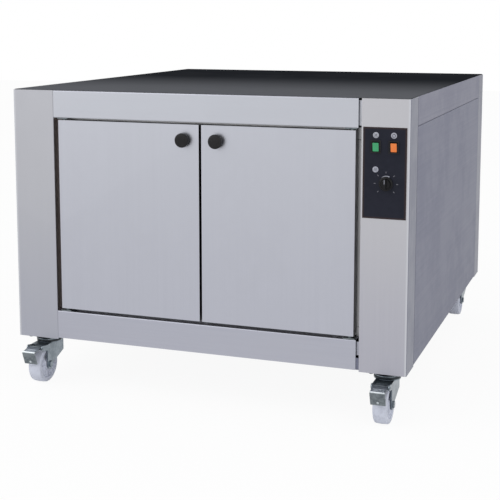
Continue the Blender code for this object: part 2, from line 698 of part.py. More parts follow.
def heating():
    foot = GUARD_HALF_WIDTH + GUARD_FOOT
    low = GUARD_Z + LINER_SHEET
    path = [(low, -foot), (low, -GUARD_HALF_WIDTH), (GUARD_TOP, -GUARD_HALF_WIDTH),
            (GUARD_TOP, GUARD_HALF_WIDTH),
            (low, GUARD_HALF_WIDTH), (low, foot)]
    guard = folded("heater_guard", path, "ZX", GUARD_FRONT, GUARD_REAR, LINER, cabinet, LINER_SHEET)
    slots = []
    for row in range(GUARD_SLOT_ROWS):
        y = GUARD_FRONT + (GUARD_REAR - GUARD_FRONT) * (row + 1) / (GUARD_SLOT_ROWS + 1)
        for column in range(GUARD_SLOT_COLUMNS):
            x = -GUARD_HALF_WIDTH + 2 * GUARD_HALF_WIDTH * (column + 1 / 2) / GUARD_SLOT_COLUMNS
            slots.append(block("slot", (x - GUARD_SLOT_LENGTH / 2, y - GUARD_SLOT_WIDTH / 2,
                                        GUARD_TOP - CUT_OVERRUN),
                               (x + GUARD_SLOT_LENGTH / 2, y + GUARD_SLOT_WIDTH / 2,
                                GUARD_TOP + CUT_OVERRUN),
                               None, cabinet))
    cut(guard, one_mesh("guard_slots", slots, cabinet))
    z = FLOOR_Z + HEATER_RISE
    pitch = 2 * HEATER_HALF_WIDTH / (HEATER_LEGS - 1)
    points = [(-HEATER_HALF_WIDTH, CHAMBER_REAR + HEATER_TAIL, z)]
    for bend in range(HEATER_LEGS - 1):
        middle = -HEATER_HALF_WIDTH + pitch * (bend + 1 / 2)
        outward = -1 if bend % 2 == 0 else 1
        y = HEATER_FRONT + pitch / 2 if outward < 0 else HEATER_REAR - pitch / 2
        for step in range(HEATER_BEND_STEPS * 2 + 1):
            angle = math.pi * step / (HEATER_BEND_STEPS * 2)
            points.append((middle - pitch / 2 * math.cos(angle), y + outward * pitch / 2 * math.sin(angle),
                           z))
    points.append((HEATER_HALF_WIDTH, CHAMBER_REAR + HEATER_TAIL, z))
    tube("heating_element", points, HEATER_RADIUS, ZINC, cabinet)


def water_pan():
    low_z = GUARD_TOP + FIT_GAP
    high_z = low_z + PAN_HEIGHT
    lift = empty("water_pan_lift", (0, (PAN_FRONT + PAN_REAR) / 2, low_z), cabinet)
    pan = tray("water_pan", (-PAN_HALF_WIDTH, PAN_FRONT, low_z), (PAN_HALF_WIDTH, PAN_REAR, high_z), (2, 1),
               LINER, cabinet, PAN_SHEET)
    rim = block("pan_rim", (-PAN_HALF_WIDTH - PAN_RIM, PAN_FRONT - PAN_RIM, high_z - PAN_SHEET),
                (PAN_HALF_WIDTH + PAN_RIM, PAN_REAR + PAN_RIM, high_z), None, cabinet)
    inset = PAN_SHEET / 2
    hole = block("pan_mouth", (-PAN_HALF_WIDTH + inset, PAN_FRONT + inset, high_z - CUT_OVERRUN),
                 (PAN_HALF_WIDTH - inset, PAN_REAR - inset, high_z + CUT_OVERRUN), None, cabinet)
    cut(rim, hole)
    weld(pan, rim)
    hang(pan, lift)


def hang(piece, pivot):
    """Moves a piece from the cabinet to the pivot that carries it, where it stands."""
    piece.location = piece.location - pivot.location
    piece.parent = pivot


def doors():
    for side, word in ((-1, "left"), (1, "right")):
        pivot = empty(word + "_door_axis", (side * PIVOT_X, PIVOT_Y, DOOR_BOTTOM), cabinet)
        x = sorted((side * DOOR_OUTER, side * DOOR_INNER))
        shell = tray(word + "_door_shell", (x[0], DOOR_RECESS, DOOR_BOTTOM), (x[1], DOOR_BACK, DOOR_TOP),
                     (1, 1), STEEL, cabinet)
        holes = rod("pin_holes", (side * PIVOT_X, PIVOT_Y, DOOR_BOTTOM - CUT_OVERRUN),
                    PIVOT_PIN_RADIUS + FIT_GAP,
                    DOOR_TOP - DOOR_BOTTOM + 2 * CUT_OVERRUN, None, cabinet)
        cut(shell, holes)
        edge = SHEET + FIT_GAP
        liner = tray(word + "_door_liner", (x[0] + edge, DOOR_BACK - DOOR_LINER_EDGE, DOOR_BOTTOM + edge),
                     (x[1] - edge, DOOR_BACK, DOOR_TOP - edge), (1, -1), LINER, cabinet, LINER_SHEET)
        head = DOOR_KNOB_STEM + DOOR_KNOB_HEAD
        profile = [(0, head)]
        for step in range(ROUND_STEPS + 1):
            angle = math.pi / 2 * step / ROUND_STEPS
            profile.append((DOOR_KNOB_RADIUS - DOOR_KNOB_ROUND * (1 - math.sin(angle)),
                            head - DOOR_KNOB_ROUND * (1 - math.cos(angle))))
        profile += [(DOOR_KNOB_RADIUS, DOOR_KNOB_STEM + DOOR_KNOB_ROUND),
                    (DOOR_KNOB_RADIUS - DOOR_KNOB_ROUND, DOOR_KNOB_STEM),
                    (DOOR_KNOB_STEM_RADIUS, DOOR_KNOB_STEM), (DOOR_KNOB_STEM_RADIUS, 0), (0, 0)]
        knob = turned(word + "_door_knob", profile, BLACK, cabinet,
                      (side * (DOOR_INNER + DOOR_KNOB_FROM_EDGE), DOOR_RECESS - FIT_GAP,
                       DOOR_TOP - DOOR_KNOB_FROM_TOP), "front")
        for piece in (shell, liner, knob):
            hang(piece, pivot)
        pivots(side, word)


def pivots(side, word):
    """Plate and pin at the top and the bottom of a door; the bottom one has a shoulder."""
    x = side * PIVOT_X
    half = PIVOT_PLATE_WIDTH / 2
    back = DOOR_BACK - DOOR_RECESS
    low = SILL_Z + FIT_GAP
    bottom = block(word + "_bottom_pivot", (x - half, DOOR_RECESS, low), (x + half, back, low + PIVOT_PLATE),
                   ZINC, cabinet)
    shoulder = rod("shoulder", (x, PIVOT_Y, low), PIVOT_SHOULDER_RADIUS, DOOR_BOTTOM - FIT_GAP - low, None,
                   cabinet)
    pin = rod("pin", (x, PIVOT_Y, low), PIVOT_PIN_RADIUS, DOOR_BOTTOM + PIVOT_PIN_REACH - low, None, cabinet)
    weld(bottom, shoulder, pin)
    high = RAIL_BOTTOM - FIT_GAP
    top = block(word + "_top_pivot", (x - half, DOOR_RECESS, high - PIVOT_PLATE), (x + half, back, high),
                ZINC, cabinet)
    pin = rod("pin", (x, PIVOT_Y, DOOR_TOP - PIVOT_PIN_REACH), PIVOT_PIN_RADIUS,
              high - PIVOT_PLATE / 2 - DOOR_TOP + PIVOT_PIN_REACH, None, cabinet)
    weld(top, pin)


def controls():
    facia = block("control_facia", (FACIA_X - FACIA_WIDTH / 2, FACIA_FRONT, FACIA_TOP - FACIA_HEIGHT),
                  (FACIA_X + FACIA_WIDTH / 2, -FIT_GAP, FACIA_TOP), FACIA, cabinet)
    cut(facia, *control_holes("facia"))
    for side, word, look in ((-1, "green", GREEN), (1, "orange", ORANGE)):
        switch(FACIA_X + side * SWITCH_SPREAD, word, look)
    thermostat()


def switch(x, word, look):
    back = FACIA_FRONT - FIT_GAP
    housing = block(word + "_switch_housing", (x - BEZEL_WIDTH / 2, back - BEZEL_THICKNESS,
                                               SWITCH_Z - BEZEL_HEIGHT / 2),
                    (x + BEZEL_WIDTH / 2, back, SWITCH_Z + BEZEL_HEIGHT / 2), BLACK, cabinet)
    body = block("switch_body", (x - HOUSING_WIDTH / 2, back - WELD_OVERLAP, SWITCH_Z - HOUSING_HEIGHT / 2),
                 (x + HOUSING_WIDTH / 2, HOUSING_DEPTH, SWITCH_Z + HOUSING_HEIGHT / 2), None, cabinet)
    half_width = HOUSING_WIDTH / 2 - HOUSING_WALL
    half_height = HOUSING_HEIGHT / 2 - HOUSING_WALL
    blades = [block("blade", (x - BLADE_WIDTH / 2, HOUSING_DEPTH - WELD_OVERLAP, z - BLADE_THICKNESS / 2),
                    (x + BLADE_WIDTH / 2, HOUSING_DEPTH + BLADE_LENGTH, z + BLADE_THICKNESS / 2), None,
                    cabinet)
              for z in (SWITCH_Z - half_height / 2, SWITCH_Z, SWITCH_Z + half_height / 2)]
    hollow = block("switch_hollow", (x - half_width, back - BEZEL_THICKNESS - CUT_OVERRUN,
                                     SWITCH_Z - half_height),
                   (x + half_width, HOUSING_DEPTH - HOUSING_WALL, SWITCH_Z + half_height), None, cabinet)
    weld(housing, body, one_mesh("blades", blades, cabinet))
    cut(housing, hollow)
    axis = empty(word + "_rocker_axis", (x, ROCKER_PIVOT_DEPTH, SWITCH_Z), cabinet)
    height = half_height - ROCKER_END_CLEARANCE
    outline = [(-ROCKER_REACH, -height), (-ROCKER_REACH + ROCKER_DIP, 0), (-ROCKER_REACH, height),
               (0, height * 4 / 5), (ROCKER_ROOT, 0), (0, -height * 4 / 5)]
    tilt = Matrix.Rotation(ROCKER_TILT, 2)
    outline = [tuple(tilt @ Vector(point)) for point in reversed(outline)]
    width = half_width - ROCKER_SIDE_CLEARANCE
    rocker = plate(word + "_rocker", outline, "YZ", -width, width, look, axis)
    stub = half_width - FIT_GAP
    weld(rocker, rod("rocker_pin", (-stub, 0, 0), ROCKER_PIN_RADIUS, 2 * stub, None, axis, "X"))


def thermostat():
    back = FACIA_FRONT - FIT_GAP
    axis = empty("thermostat_axis", (DIAL_X, back, DIAL_Z), cabinet)
    rise = DIAL_KNOB_HEIGHT
    profile = [(0, rise), (DIAL_KNOB_BODY_RADIUS - WELD_OVERLAP, rise),
               (DIAL_KNOB_BODY_RADIUS, rise - WELD_OVERLAP),
               (DIAL_KNOB_BODY_RADIUS, DIAL_KNOB_SKIRT), (DIAL_KNOB_RADIUS, DIAL_KNOB_SKIRT / 2),
               (DIAL_KNOB_RADIUS, 0), (0, 0)]
    knob = turned("thermostat_knob", profile, BLACK, axis, (0, 0, 0), "front")
    grip = block("grip", (-DIAL_GRIP_WIDTH / 2, -rise - DIAL_GRIP_HEIGHT,
                          -DIAL_KNOB_BODY_RADIUS + WELD_OVERLAP),
                 (DIAL_GRIP_WIDTH / 2, -rise + WELD_OVERLAP, DIAL_KNOB_BODY_RADIUS - WELD_OVERLAP), None,
                 axis)
    weld(knob, grip)
    socket = rod("knob_socket", (0, CUT_OVERRUN, 0), SPINDLE_RADIUS + FIT_GAP, SPINDLE_SOCKET + CUT_OVERRUN,
                 None,
                 axis, "front")
    cut(knob, socket)
    front = SHEET + FIT_GAP
    seat = front + THERMOSTAT_SOCKET
    start = seat - FIT_GAP - back
    rod("thermostat_spindle", (0, start, 0), SPINDLE_RADIUS, start + SPINDLE_SOCKET - FIT_GAP, ZINC, axis,
        "front")
    half = THERMOSTAT_WIDTH / 2
    rear = front + THERMOSTAT_DEPTH
    body = block("thermostat_body", (DIAL_X - half, front, DIAL_Z - half),
                 (DIAL_X + half, rear, DIAL_Z + half),
                 BRASS, cabinet)
    bush = rod("bush", (DIAL_X, seat, DIAL_Z), SPINDLE_RADIUS + FIT_GAP, THERMOSTAT_SOCKET + CUT_OVERRUN,
               None,
               cabinet, "front")
    cut(body, bush)
    bulb_x = CHAMBER_HALF_WIDTH - BULB_RADIUS - FIT_GAP
    bulb_z = CEILING_Z - BULB_FROM_CEILING
    turn_y = BULB_FRONT - CAPILLARY_RISE
    corners = [(DIAL_X, rear + FIT_GAP, DIAL_Z), (DIAL_X, turn_y, DIAL_Z), (DIAL_X, turn_y, bulb_z),
               (bulb_x, turn_y, bulb_z), (bulb_x, BULB_FRONT + WELD_OVERLAP, bulb_z)]
    bulb = rod("thermostat_capillary", (bulb_x, BULB_FRONT, bulb_z), BULB_RADIUS, BULB_LENGTH, BRASS,
               cabinet, "back")
    weld(bulb, tube("capillary", bent(corners, CAPILLARY_BEND), CAPILLARY_RADIUS, None, cabinet))


def terminal_block():
    x = (CHAMBER_HALF_WIDTH + HALF_WIDTH) / 2
    low = PAN_Z + SHEET + FIT_GAP
    high = low + TERMINAL_HEIGHT
    body = block("terminal_block", (x - TERMINAL_WIDTH / 2, TERMINAL_FRONT, low),
                 (x + TERMINAL_WIDTH / 2, TERMINAL_FRONT + TERMINAL_LENGTH, high), BLACK, cabinet)
    grooves = []
    for way in range(1, TERMINAL_WAYS):
        y = TERMINAL_FRONT + TERMINAL_LENGTH * way / TERMINAL_WAYS
        grooves.append(block("groove", (x - TERMINAL_WIDTH, y - TERMINAL_GROOVE / 2,
                                        high - TERMINAL_HEIGHT / 2),
                             (x + TERMINAL_WIDTH, y + TERMINAL_GROOVE / 2, high + CUT_OVERRUN), None,
                             cabinet))
    cut(body, one_mesh("grooves", grooves, cabinet))


def arc(centre, radius, first, last, steps):
    angles = [math.radians(first + (last - first) * step / steps) for step in range(steps + 1)]
    return [(centre[0] + radius * math.cos(a), centre[1] + radius * math.sin(a)) for a in angles]


def castor(word, x, y, braked):
    """Plate castor: fixed plate with race and king pin, swivelling fork, wheel and, in front, a brake."""
    corner = empty(word + "_castor_corner", (x, y, 0), cabinet)
    swivel = empty(word + "_castor_swivel", (x, y, 0), cabinet)
    race_bottom = BASE_Z - CASTOR_PLATE - RACE_HEIGHT
    head_top = race_bottom - FIT_GAP
    crown_top = head_top - HEAD_HEIGHT
    crown_bottom = crown_top - CROWN_THICKNESS
    nut_top = crown_bottom - FIT_GAP
    top = block(word + "_castor_plate", (-CASTOR_PLATE_WIDTH / 2, -CASTOR_PLATE_DEPTH / 2,
                                         BASE_Z - CASTOR_PLATE),
                (CASTOR_PLATE_WIDTH / 2, CASTOR_PLATE_DEPTH / 2, BASE_Z), ZINC, corner)
    race = rod("race", (0, 0, race_bottom), RACE_RADIUS, RACE_HEIGHT + CASTOR_PLATE / 2, None, corner,
               segments=KNOB_SEGMENTS)
    kingpin = rod("kingpin", (0, 0, nut_top - KINGPIN_NUT_THICKNESS / 2), KINGPIN_RADIUS,
                  race_bottom + RACE_HEIGHT / 2 - nut_top + KINGPIN_NUT_THICKNESS / 2, None, corner)
    nut = rod("kingpin_nut", (0, 0, nut_top - KINGPIN_NUT_THICKNESS), KINGPIN_NUT, KINGPIN_NUT_THICKNESS,
              None,
              corner, segments=NUT_SEGMENTS)
    weld(top, race, kingpin, nut)

    axle_y = -CASTOR_TRAIL
    pin = (axle_y - PEDAL_PIN_AHEAD, PEDAL_PIN_HEIGHT)
    inner = WHEEL_WIDTH / 2 + FORK_CLEARANCE
    outer = inner + FORK_ARM
    step = WELD_OVERLAP / 2
    fork = block(word + "_castor_fork", (step - outer, -FORK_FRONT, crown_bottom),
                 (outer - step, FORK_REAR, crown_top),
                 ZINC, swivel)
    outline = [(FORK_REAR - step, crown_top - step), (step - FORK_FRONT, crown_top - step)]
    if braked:
        outline += arc(pin, PEDAL_EAR_RADIUS, 90, 270, FORK_ARC_STEPS)
        outline.append((axle_y - FORK_FOOT_RADIUS, PEDAL_PIN_HEIGHT - PEDAL_EAR_DROP))
    outline += arc((axle_y, WHEEL_RADIUS), FORK_FOOT_RADIUS, 180, 360, FORK_ARC_STEPS)
    outline.append((FORK_REAR - step, crown_bottom - FORK_SKIRT))
    arms = [plate("fork_arm", outline, "YZ", *sorted((side * inner, side * outer)), None,
                  swivel) for side in (-1, 1)]
    head = rod("fork_head", (0, 0, crown_top - CROWN_THICKNESS / 2), HEAD_RADIUS,
               HEAD_HEIGHT + CROWN_THICKNESS / 2,
               None, swivel, segments=KNOB_SEGMENTS)
    axle = rod("axle", (-outer, axle_y, WHEEL_RADIUS), AXLE_RADIUS, 2 * outer, None, swivel, "X")
    nuts = [rod("axle_nut", (start, axle_y, WHEEL_RADIUS), NUT_RADIUS, NUT_THICKNESS, None, swivel, "X",
                NUT_SEGMENTS) for start in (-outer - NUT_THICKNESS + WELD_OVERLAP, outer - WELD_OVERLAP)]
    weld(fork, *arms, head, axle, *nuts)
    if braked:
        pin_end = outer + PEDAL_PIN_RADIUS / 2
        weld(fork, rod("pedal_pin", (-pin_end, pin[0], pin[1]), PEDAL_PIN_RADIUS, 2 * pin_end, None, swivel,
                       "X"))
    cut(fork, rod("kingpin_hole", (0, 0, crown_bottom - CUT_OVERRUN), KINGPIN_RADIUS + FIT_GAP,
                  head_top - crown_bottom + 2 * CUT_OVERRUN, None, swivel))

    half = WHEEL_WIDTH / 2
    bore = AXLE_RADIUS + FIT_GAP
    tread = WHEEL_RADIUS / math.cos(math.pi / WHEEL_SEGMENTS)
    side_line = [(bore, half), (WHEEL_HUB_RADIUS, half), (WHEEL_HUB_RADIUS, half - WHEEL_DISH),
                 (tread - WHEEL_RIM, half - WHEEL_DISH), (tread - WHEEL_RIM, half),
                 (tread - WHEEL_CROWN, half),
                 (tread, half - WHEEL_CROWN)]
    profile = side_line + [(radius, -level) for radius, level in reversed(side_line)]
    spin = empty(word + "_wheel_axis", (0, axle_y, WHEEL_RADIUS), swivel)
    turned(word + "_castor_wheel", profile, WHEEL, spin, (0, 0, 0), "X", WHEEL_SEGMENTS, ring=True,
           start=math.pi / WHEEL_SEGMENTS)
    if braked:
        brake_pedal(word, pin, axle_y, inner, swivel)


def brake_pedal(word, pin, axle_y, inner, swivel):
    """Bent pedal on a pin ahead of the wheel; its lip is the shoe that meets the tread."""
    axis = empty(word + "_pedal_axis", (0, pin[0], pin[1]), swivel)
    half = inner - FORK_CLEARANCE / 2
    path = [(0, PEDAL_BARREL_RADIUS - PEDAL_THICKNESS / 4),
            (axle_y - PEDAL_REACH - pin[0], PEDAL_TIP_HEIGHT - pin[1]),
            (axle_y - PEDAL_SHOE_AHEAD - pin[0], PEDAL_SHOE_HEIGHT - pin[1])]
    pedal = folded(word + "_brake_pedal", path, "YZ", -half, half, ZINC, axis, PEDAL_THICKNESS)
    barrel = rod("barrel", (-half, 0, 0), PEDAL_BARREL_RADIUS, 2 * half, None, axis, "X")
    bore = rod("pedal_bore", (-inner, 0, 0), PEDAL_PIN_RADIUS + FIT_GAP, 2 * inner, None, axis, "X")
    weld(pedal, barrel)
    cut(pedal, bore)


def castors():
    for front in (True, False):
        for side, word in ((-1, "left"), (1, "right")):
            y = CASTOR_SETBACK if front else CABINET_DEPTH - CASTOR_SETBACK
            name = ("front_" if front else "rear_") + word
            castor(name, side * (HALF_WIDTH - CASTOR_SIDE), y, front)


posts()
rails()
skins()
base_and_back()
deck()
chamber()
door_seal()
racks()
heating()
water_pan()
doors()
controls()
terminal_block()
castors()
bpy.context.view_layer.update()
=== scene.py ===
import bpy
import bmesh
import json
import math
import numpy as np
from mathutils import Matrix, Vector

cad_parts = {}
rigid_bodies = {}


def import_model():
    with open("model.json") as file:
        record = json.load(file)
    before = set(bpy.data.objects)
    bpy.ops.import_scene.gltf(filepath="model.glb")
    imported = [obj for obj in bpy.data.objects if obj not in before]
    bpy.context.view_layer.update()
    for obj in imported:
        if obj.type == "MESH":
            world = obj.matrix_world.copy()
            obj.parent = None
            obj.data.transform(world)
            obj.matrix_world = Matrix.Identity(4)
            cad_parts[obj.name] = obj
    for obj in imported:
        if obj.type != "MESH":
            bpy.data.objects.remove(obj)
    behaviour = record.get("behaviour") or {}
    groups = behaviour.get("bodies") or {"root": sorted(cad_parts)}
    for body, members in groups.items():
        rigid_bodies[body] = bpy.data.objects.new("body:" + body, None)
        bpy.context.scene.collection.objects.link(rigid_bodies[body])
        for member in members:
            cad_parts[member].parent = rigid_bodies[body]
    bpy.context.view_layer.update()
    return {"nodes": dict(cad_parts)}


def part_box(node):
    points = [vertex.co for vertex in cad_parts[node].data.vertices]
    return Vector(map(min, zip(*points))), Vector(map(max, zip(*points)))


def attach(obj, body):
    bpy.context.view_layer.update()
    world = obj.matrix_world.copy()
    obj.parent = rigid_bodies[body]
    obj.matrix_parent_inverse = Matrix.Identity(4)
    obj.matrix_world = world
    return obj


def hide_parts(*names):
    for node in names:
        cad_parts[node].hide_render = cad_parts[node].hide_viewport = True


# Proofing cabinet on castors: looks, small pieces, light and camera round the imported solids.
# Metres; +Z up, doors face -Y, +X to the right when facing the doors.

for leftover in list(bpy.data.objects):
    bpy.data.objects.remove(leftover, do_unlink=True)
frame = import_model()
print("frame loaded:", len(frame["nodes"]), "nodes")

scene = bpy.context.scene
scene.view_settings.view_transform = "Standard"


# ---- camera, first of all

viewpoint = {
    "place": (1.0642, -3.1755, 1.0044),
    "pitch": 7.40,           # degrees below level
    "yaw": 19.70,            # degrees to the left of straight ahead
    "lens": 79.97,
    "sensor": 36,
    "shift": -0.18,          # keeps the posts nearly upright, as in the picture
    "farthest": 60,
}

camera = bpy.data.objects.new("camera", bpy.data.cameras.new("camera"))
scene.collection.objects.link(camera)
camera.location = viewpoint["place"]
camera.rotation_euler = (math.radians(90 - viewpoint["pitch"]), 0, math.radians(viewpoint["yaw"]))
camera.data.lens = viewpoint["lens"]
camera.data.sensor_width = viewpoint["sensor"]
camera.data.shift_y = viewpoint["shift"]
camera.data.clip_end = viewpoint["farthest"]
scene.camera = camera
print("camera placed")


# ---- small helpers for surfaces

surface = {
    "upright": 0.9,          # an axis with more of z than this counts as upright
    "leastBend": 0.00002,    # corner radius left where an inset uses up the whole of it
    "barPoints": 12,         # corners of a bar's section
    "barPower": 0.4,         # cosine and sine to this power give a rectangle with round corners
    "merge": 0.000002,
    "sliver": 0.000001,
    "below": 0.0001,         # how far a small piece reaches under the face that it stands on
}


def gridShape(grid, wrapRows=False):
    # grid[i, j] is row i, column j, and each row is a closed loop; four neighbours make one quad
    rows, columns = grid.shape[:2]
    index = np.arange(rows * columns).reshape(rows, columns)
    index = np.hstack((index, index[:, :1]))
    if wrapRows:
        index = np.vstack((index, index[:1]))
    quads = np.stack((index[:-1, :-1], index[:-1, 1:], index[1:, 1:], index[1:, :-1]), axis=-1)
    return grid.reshape(-1, 3), quads.reshape(-1, 4)


def sideAxes(axis):
    # two unit vectors square to the axis and to each other
    n = np.array(axis, dtype=float)
    n /= np.linalg.norm(n)
    helper = np.array((0.0, 0.0, 1.0) if abs(n[2]) < surface["upright"] else (1.0, 0.0, 0.0))
    u = np.cross(helper, n)
    u /= np.linalg.norm(u)
    return u, np.cross(n, u), n


def lathe(centre, axis, radius, along, segments, start=0.0, closed=False):
    # point = centre + along * axis + radius * (cos t * u + sin t * v), t once round the axis;
    # radius and along may change with t too, as arrays of (rows, segments); closed joins the last row
    # to the first
    u, v, n = sideAxes(axis)
    t = start + np.arange(segments) * 2 * math.pi / segments
    r = np.array(radius, dtype=float)
    a = np.array(along, dtype=float)
    r = np.broadcast_to(r[:, None] if r.ndim == 1 else r, (len(r), segments))
    a = np.broadcast_to(a[:, None] if a.ndim == 1 else a, (len(a), segments))
    ring = np.cos(t)[:, None] * u + np.sin(t)[:, None] * v
    grid = np.array(centre, dtype=float) + a[..., None] * n + r[..., None] * ring[None]
    return gridShape(grid, wrapRows=closed)


def roundedPanel(centre, halfWide, halfHigh, corner, rows, count, bulge=None):
    # rows are (inset, scale, depth): the loop is a rectangle with round corners, drawn in by inset
    # and shrunk by scale, lifted by depth towards the front; bulge(a, b) adds to the depth
    u, v, n = sideAxes((0, -1, 0))
    t = (np.arange(count) + 0.5) * 2 * math.pi / count
    cosine, sine = np.cos(t), np.sin(t)
    loops = []
    for inset, scale, depth in rows:
        bend = max(corner - inset, surface["leastBend"])
        a = (np.sign(cosine) * (halfWide - inset - bend) + bend * cosine) * scale
        b = (np.sign(sine) * (halfHigh - inset - bend) + bend * sine) * scale
        lift = depth + (bulge(a, b) if bulge and depth > 0 else 0 * a)
        loops.append(np.array(centre) + a[:, None] * u + b[:, None] * v + lift[:, None] * n)
    return gridShape(np.array(loops))


def sweepBar(path, halfWide, halfThick, across, cap=0.0004):
    # a flat bar with rounded edges carried along a path; across is the bar's width direction
    path = np.array(path, dtype=float)
    ahead = np.gradient(path, axis=0)
    ahead /= np.linalg.norm(ahead, axis=1)[:, None]
    w = np.array(across, dtype=float)
    up = np.cross(ahead, w)
    up /= np.linalg.norm(up, axis=1)[:, None]
    count, power = surface["barPoints"], surface["barPower"]
    t = np.arange(count) * 2 * math.pi / count + math.pi / count
    a = np.sign(np.cos(t)) * np.abs(np.cos(t)) ** power * halfWide
    b = np.sign(np.sin(t)) * np.abs(np.sin(t)) ** power * halfThick
    grid = path[:, None] + a[None, :, None] * w + b[None, :, None] * up[:, None]
    first = path[:1, None] - ahead[:1, None] * cap + 0 * grid[:1]
    last = path[-1:, None] + ahead[-1:, None] * cap + 0 * grid[-1:]
    return gridShape(np.concatenate((first, grid, last)))


def makePiece(name, shapes, look, body, replaces=(), sharp=38):
    # puts one or more shapes into one mesh, merges seams and poles and turns the faces outwards
    offset, points, quads = 0, [], []
    for shapePoints, shapeQuads in shapes:
        points.append(shapePoints)
        quads.append(shapeQuads + offset)
        offset += len(shapePoints)
    mesh = bpy.data.meshes.new(name)
    mesh.from_pydata(np.concatenate(points).tolist(), [], np.concatenate(quads).tolist())
    shell = bmesh.new()
    shell.from_mesh(mesh)
    bmesh.ops.remove_doubles(shell, verts=shell.verts, dist=surface["merge"])
    bmesh.ops.dissolve_degenerate(shell, edges=shell.edges, dist=surface["sliver"])
    bmesh.ops.recalc_face_normals(shell, faces=shell.faces)
    shell.to_mesh(mesh)
    shell.free()
    mesh.polygons.foreach_set("use_smooth", np.ones(len(mesh.polygons), dtype=bool))
    mesh.set_sharp_from_angle(angle=math.radians(sharp))
    mesh.materials.append(look)
    piece = bpy.data.objects.new(name, mesh)
    scene.collection.objects.link(piece)
    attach(piece, body)
    if replaces:
        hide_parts(*replaces)


def middleOf(node):
    low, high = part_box(node)
    return np.array((low + high) / 2)


def arcRows(centreA, centreB, bend, start, end, steps=6):
    # points on an arc of a circle, angles in degrees
    t = np.radians(np.linspace(start, end, steps))
    return list(zip(centreA + bend * np.cos(t), centreB + bend * np.sin(t)))


# ---- shared effects, as node groups

def newGroup(name, values, results):
    # a group with a Position input, the named inputs with their usual values, and number outputs
    group = bpy.data.node_groups.new(name, "ShaderNodeTree")
    group.interface.new_socket("Position", in_out="INPUT", socket_type="NodeSocketVector")
    for label, value in values.items():
        kind = "NodeSocketVector" if isinstance(value, tuple) else "NodeSocketFloat"
        group.interface.new_socket(label, in_out="INPUT", socket_type=kind).default_value = value
    for label in results:
        group.interface.new_socket(label, in_out="OUTPUT", socket_type="NodeSocketFloat")
    return group, group.nodes.new("NodeGroupInput").outputs, group.nodes.new("NodeGroupOutput").inputs


def addNode(tree, kind, values=None, **settings):
    node = tree.nodes.new(kind)
    for label, value in settings.items():
        setattr(node, label, value)
    for label, value in (values or {}).items():
        node.inputs[label].default_value = value
    return node


def joinNodes(tree, *pairs):
    for source, target in pairs:
        tree.links.new(source, target)


effect = {"broader": (0.13, 0.13, 0.13), "fineShare": 0.6, "broadShare": 0.4, "smudgeFiner": 5.0,
          "smudgeFrom": 0.16, "smudgeTo": 0.38, "cloudScale": 0.05}


def makeBrushedGrain():
    # fine streaks: noise read at a position stretched by Stretch, plus a broader set of the same
    tree, start, end = newGroup("brushedGrain", {"Stretch": (40, 40, 900)}, ("Streak", "Height"))
    stretch = addNode(tree, "ShaderNodeVectorMath", operation="MULTIPLY")
    fine = addNode(tree, "ShaderNodeTexNoise", {"Scale": 1.0, "Detail": 3.0, "Roughness": 0.65})
    wide = addNode(tree, "ShaderNodeVectorMath", {1: effect["broader"]}, operation="MULTIPLY")
    broad = addNode(tree, "ShaderNodeTexNoise", {"Scale": 1.0, "Detail": 2.0, "Roughness": 0.5})
    blend = addNode(tree, "ShaderNodeMath", {1: effect["fineShare"]}, operation="MULTIPLY_ADD")
    rest = addNode(tree, "ShaderNodeMath", {1: effect["broadShare"]}, operation="MULTIPLY")
    joinNodes(tree, (start["Position"], stretch.inputs[0]), (start["Stretch"], stretch.inputs[1]),
              (stretch.outputs[0], fine.inputs["Vector"]), (stretch.outputs[0], wide.inputs[0]),
              (wide.outputs[0], broad.inputs["Vector"]), (broad.outputs["Fac"], rest.inputs[0]),
              (fine.outputs["Fac"], blend.inputs[0]), (rest.outputs[0], blend.inputs[2]),
              (blend.outputs[0], end["Streak"]), (fine.outputs["Fac"], end["Height"]))
    return tree


def makeSmudges():
    # soft wiped patches: two sizes of cloudy noise multiplied, then eased between two levels
    tree, start, end = newGroup("smudges", {"Size": 4.0}, ("Mask",))
    large = addNode(tree, "ShaderNodeTexNoise", {"Detail": 2.0, "Roughness": 0.45, "Distortion": 0.6})
    finer = addNode(tree, "ShaderNodeMath", {1: effect["smudgeFiner"]}, operation="MULTIPLY")
    small = addNode(tree, "ShaderNodeTexNoise", {"Detail": 4.0, "Roughness": 0.55})
    both = addNode(tree, "ShaderNodeMath", operation="MULTIPLY")
    ease = addNode(tree, "ShaderNodeMapRange",
                   {"From Min": effect["smudgeFrom"], "From Max": effect["smudgeTo"]},
                   interpolation_type="SMOOTHSTEP")
    joinNodes(tree, (start["Position"], large.inputs["Vector"]), (start["Size"], large.inputs["Scale"]),
              (start["Size"], finer.inputs[0]), (finer.outputs[0], small.inputs["Scale"]),
              (start["Position"], small.inputs["Vector"]), (large.outputs["Fac"], both.inputs[0]),
              (small.outputs["Fac"], both.inputs[1]), (both.outputs[0], ease.inputs["Value"]),
              (ease.outputs["Result"], end["Mask"]))
    return tree


def makeFade():
    # 0 below Low and 1 above High along one direction, smooth between
    tree, start, end = newGroup("fadeAlong", {"Direction": (0, 0, 1), "Low": 0.0, "High": 1.0}, ("Mask",))
    along = addNode(tree, "ShaderNodeVectorMath", operation="DOT_PRODUCT")
    ease = addNode(tree, "ShaderNodeMapRange", interpolation_type="SMOOTHSTEP")
    joinNodes(tree, (start["Position"], along.inputs[0]), (start["Direction"], along.inputs[1]),
              (along.outputs["Value"], ease.inputs["Value"]), (start["Low"], ease.inputs["From Min"]),
              (start["High"], ease.inputs["From Max"]), (ease.outputs["Result"], end["Mask"]))
    return tree


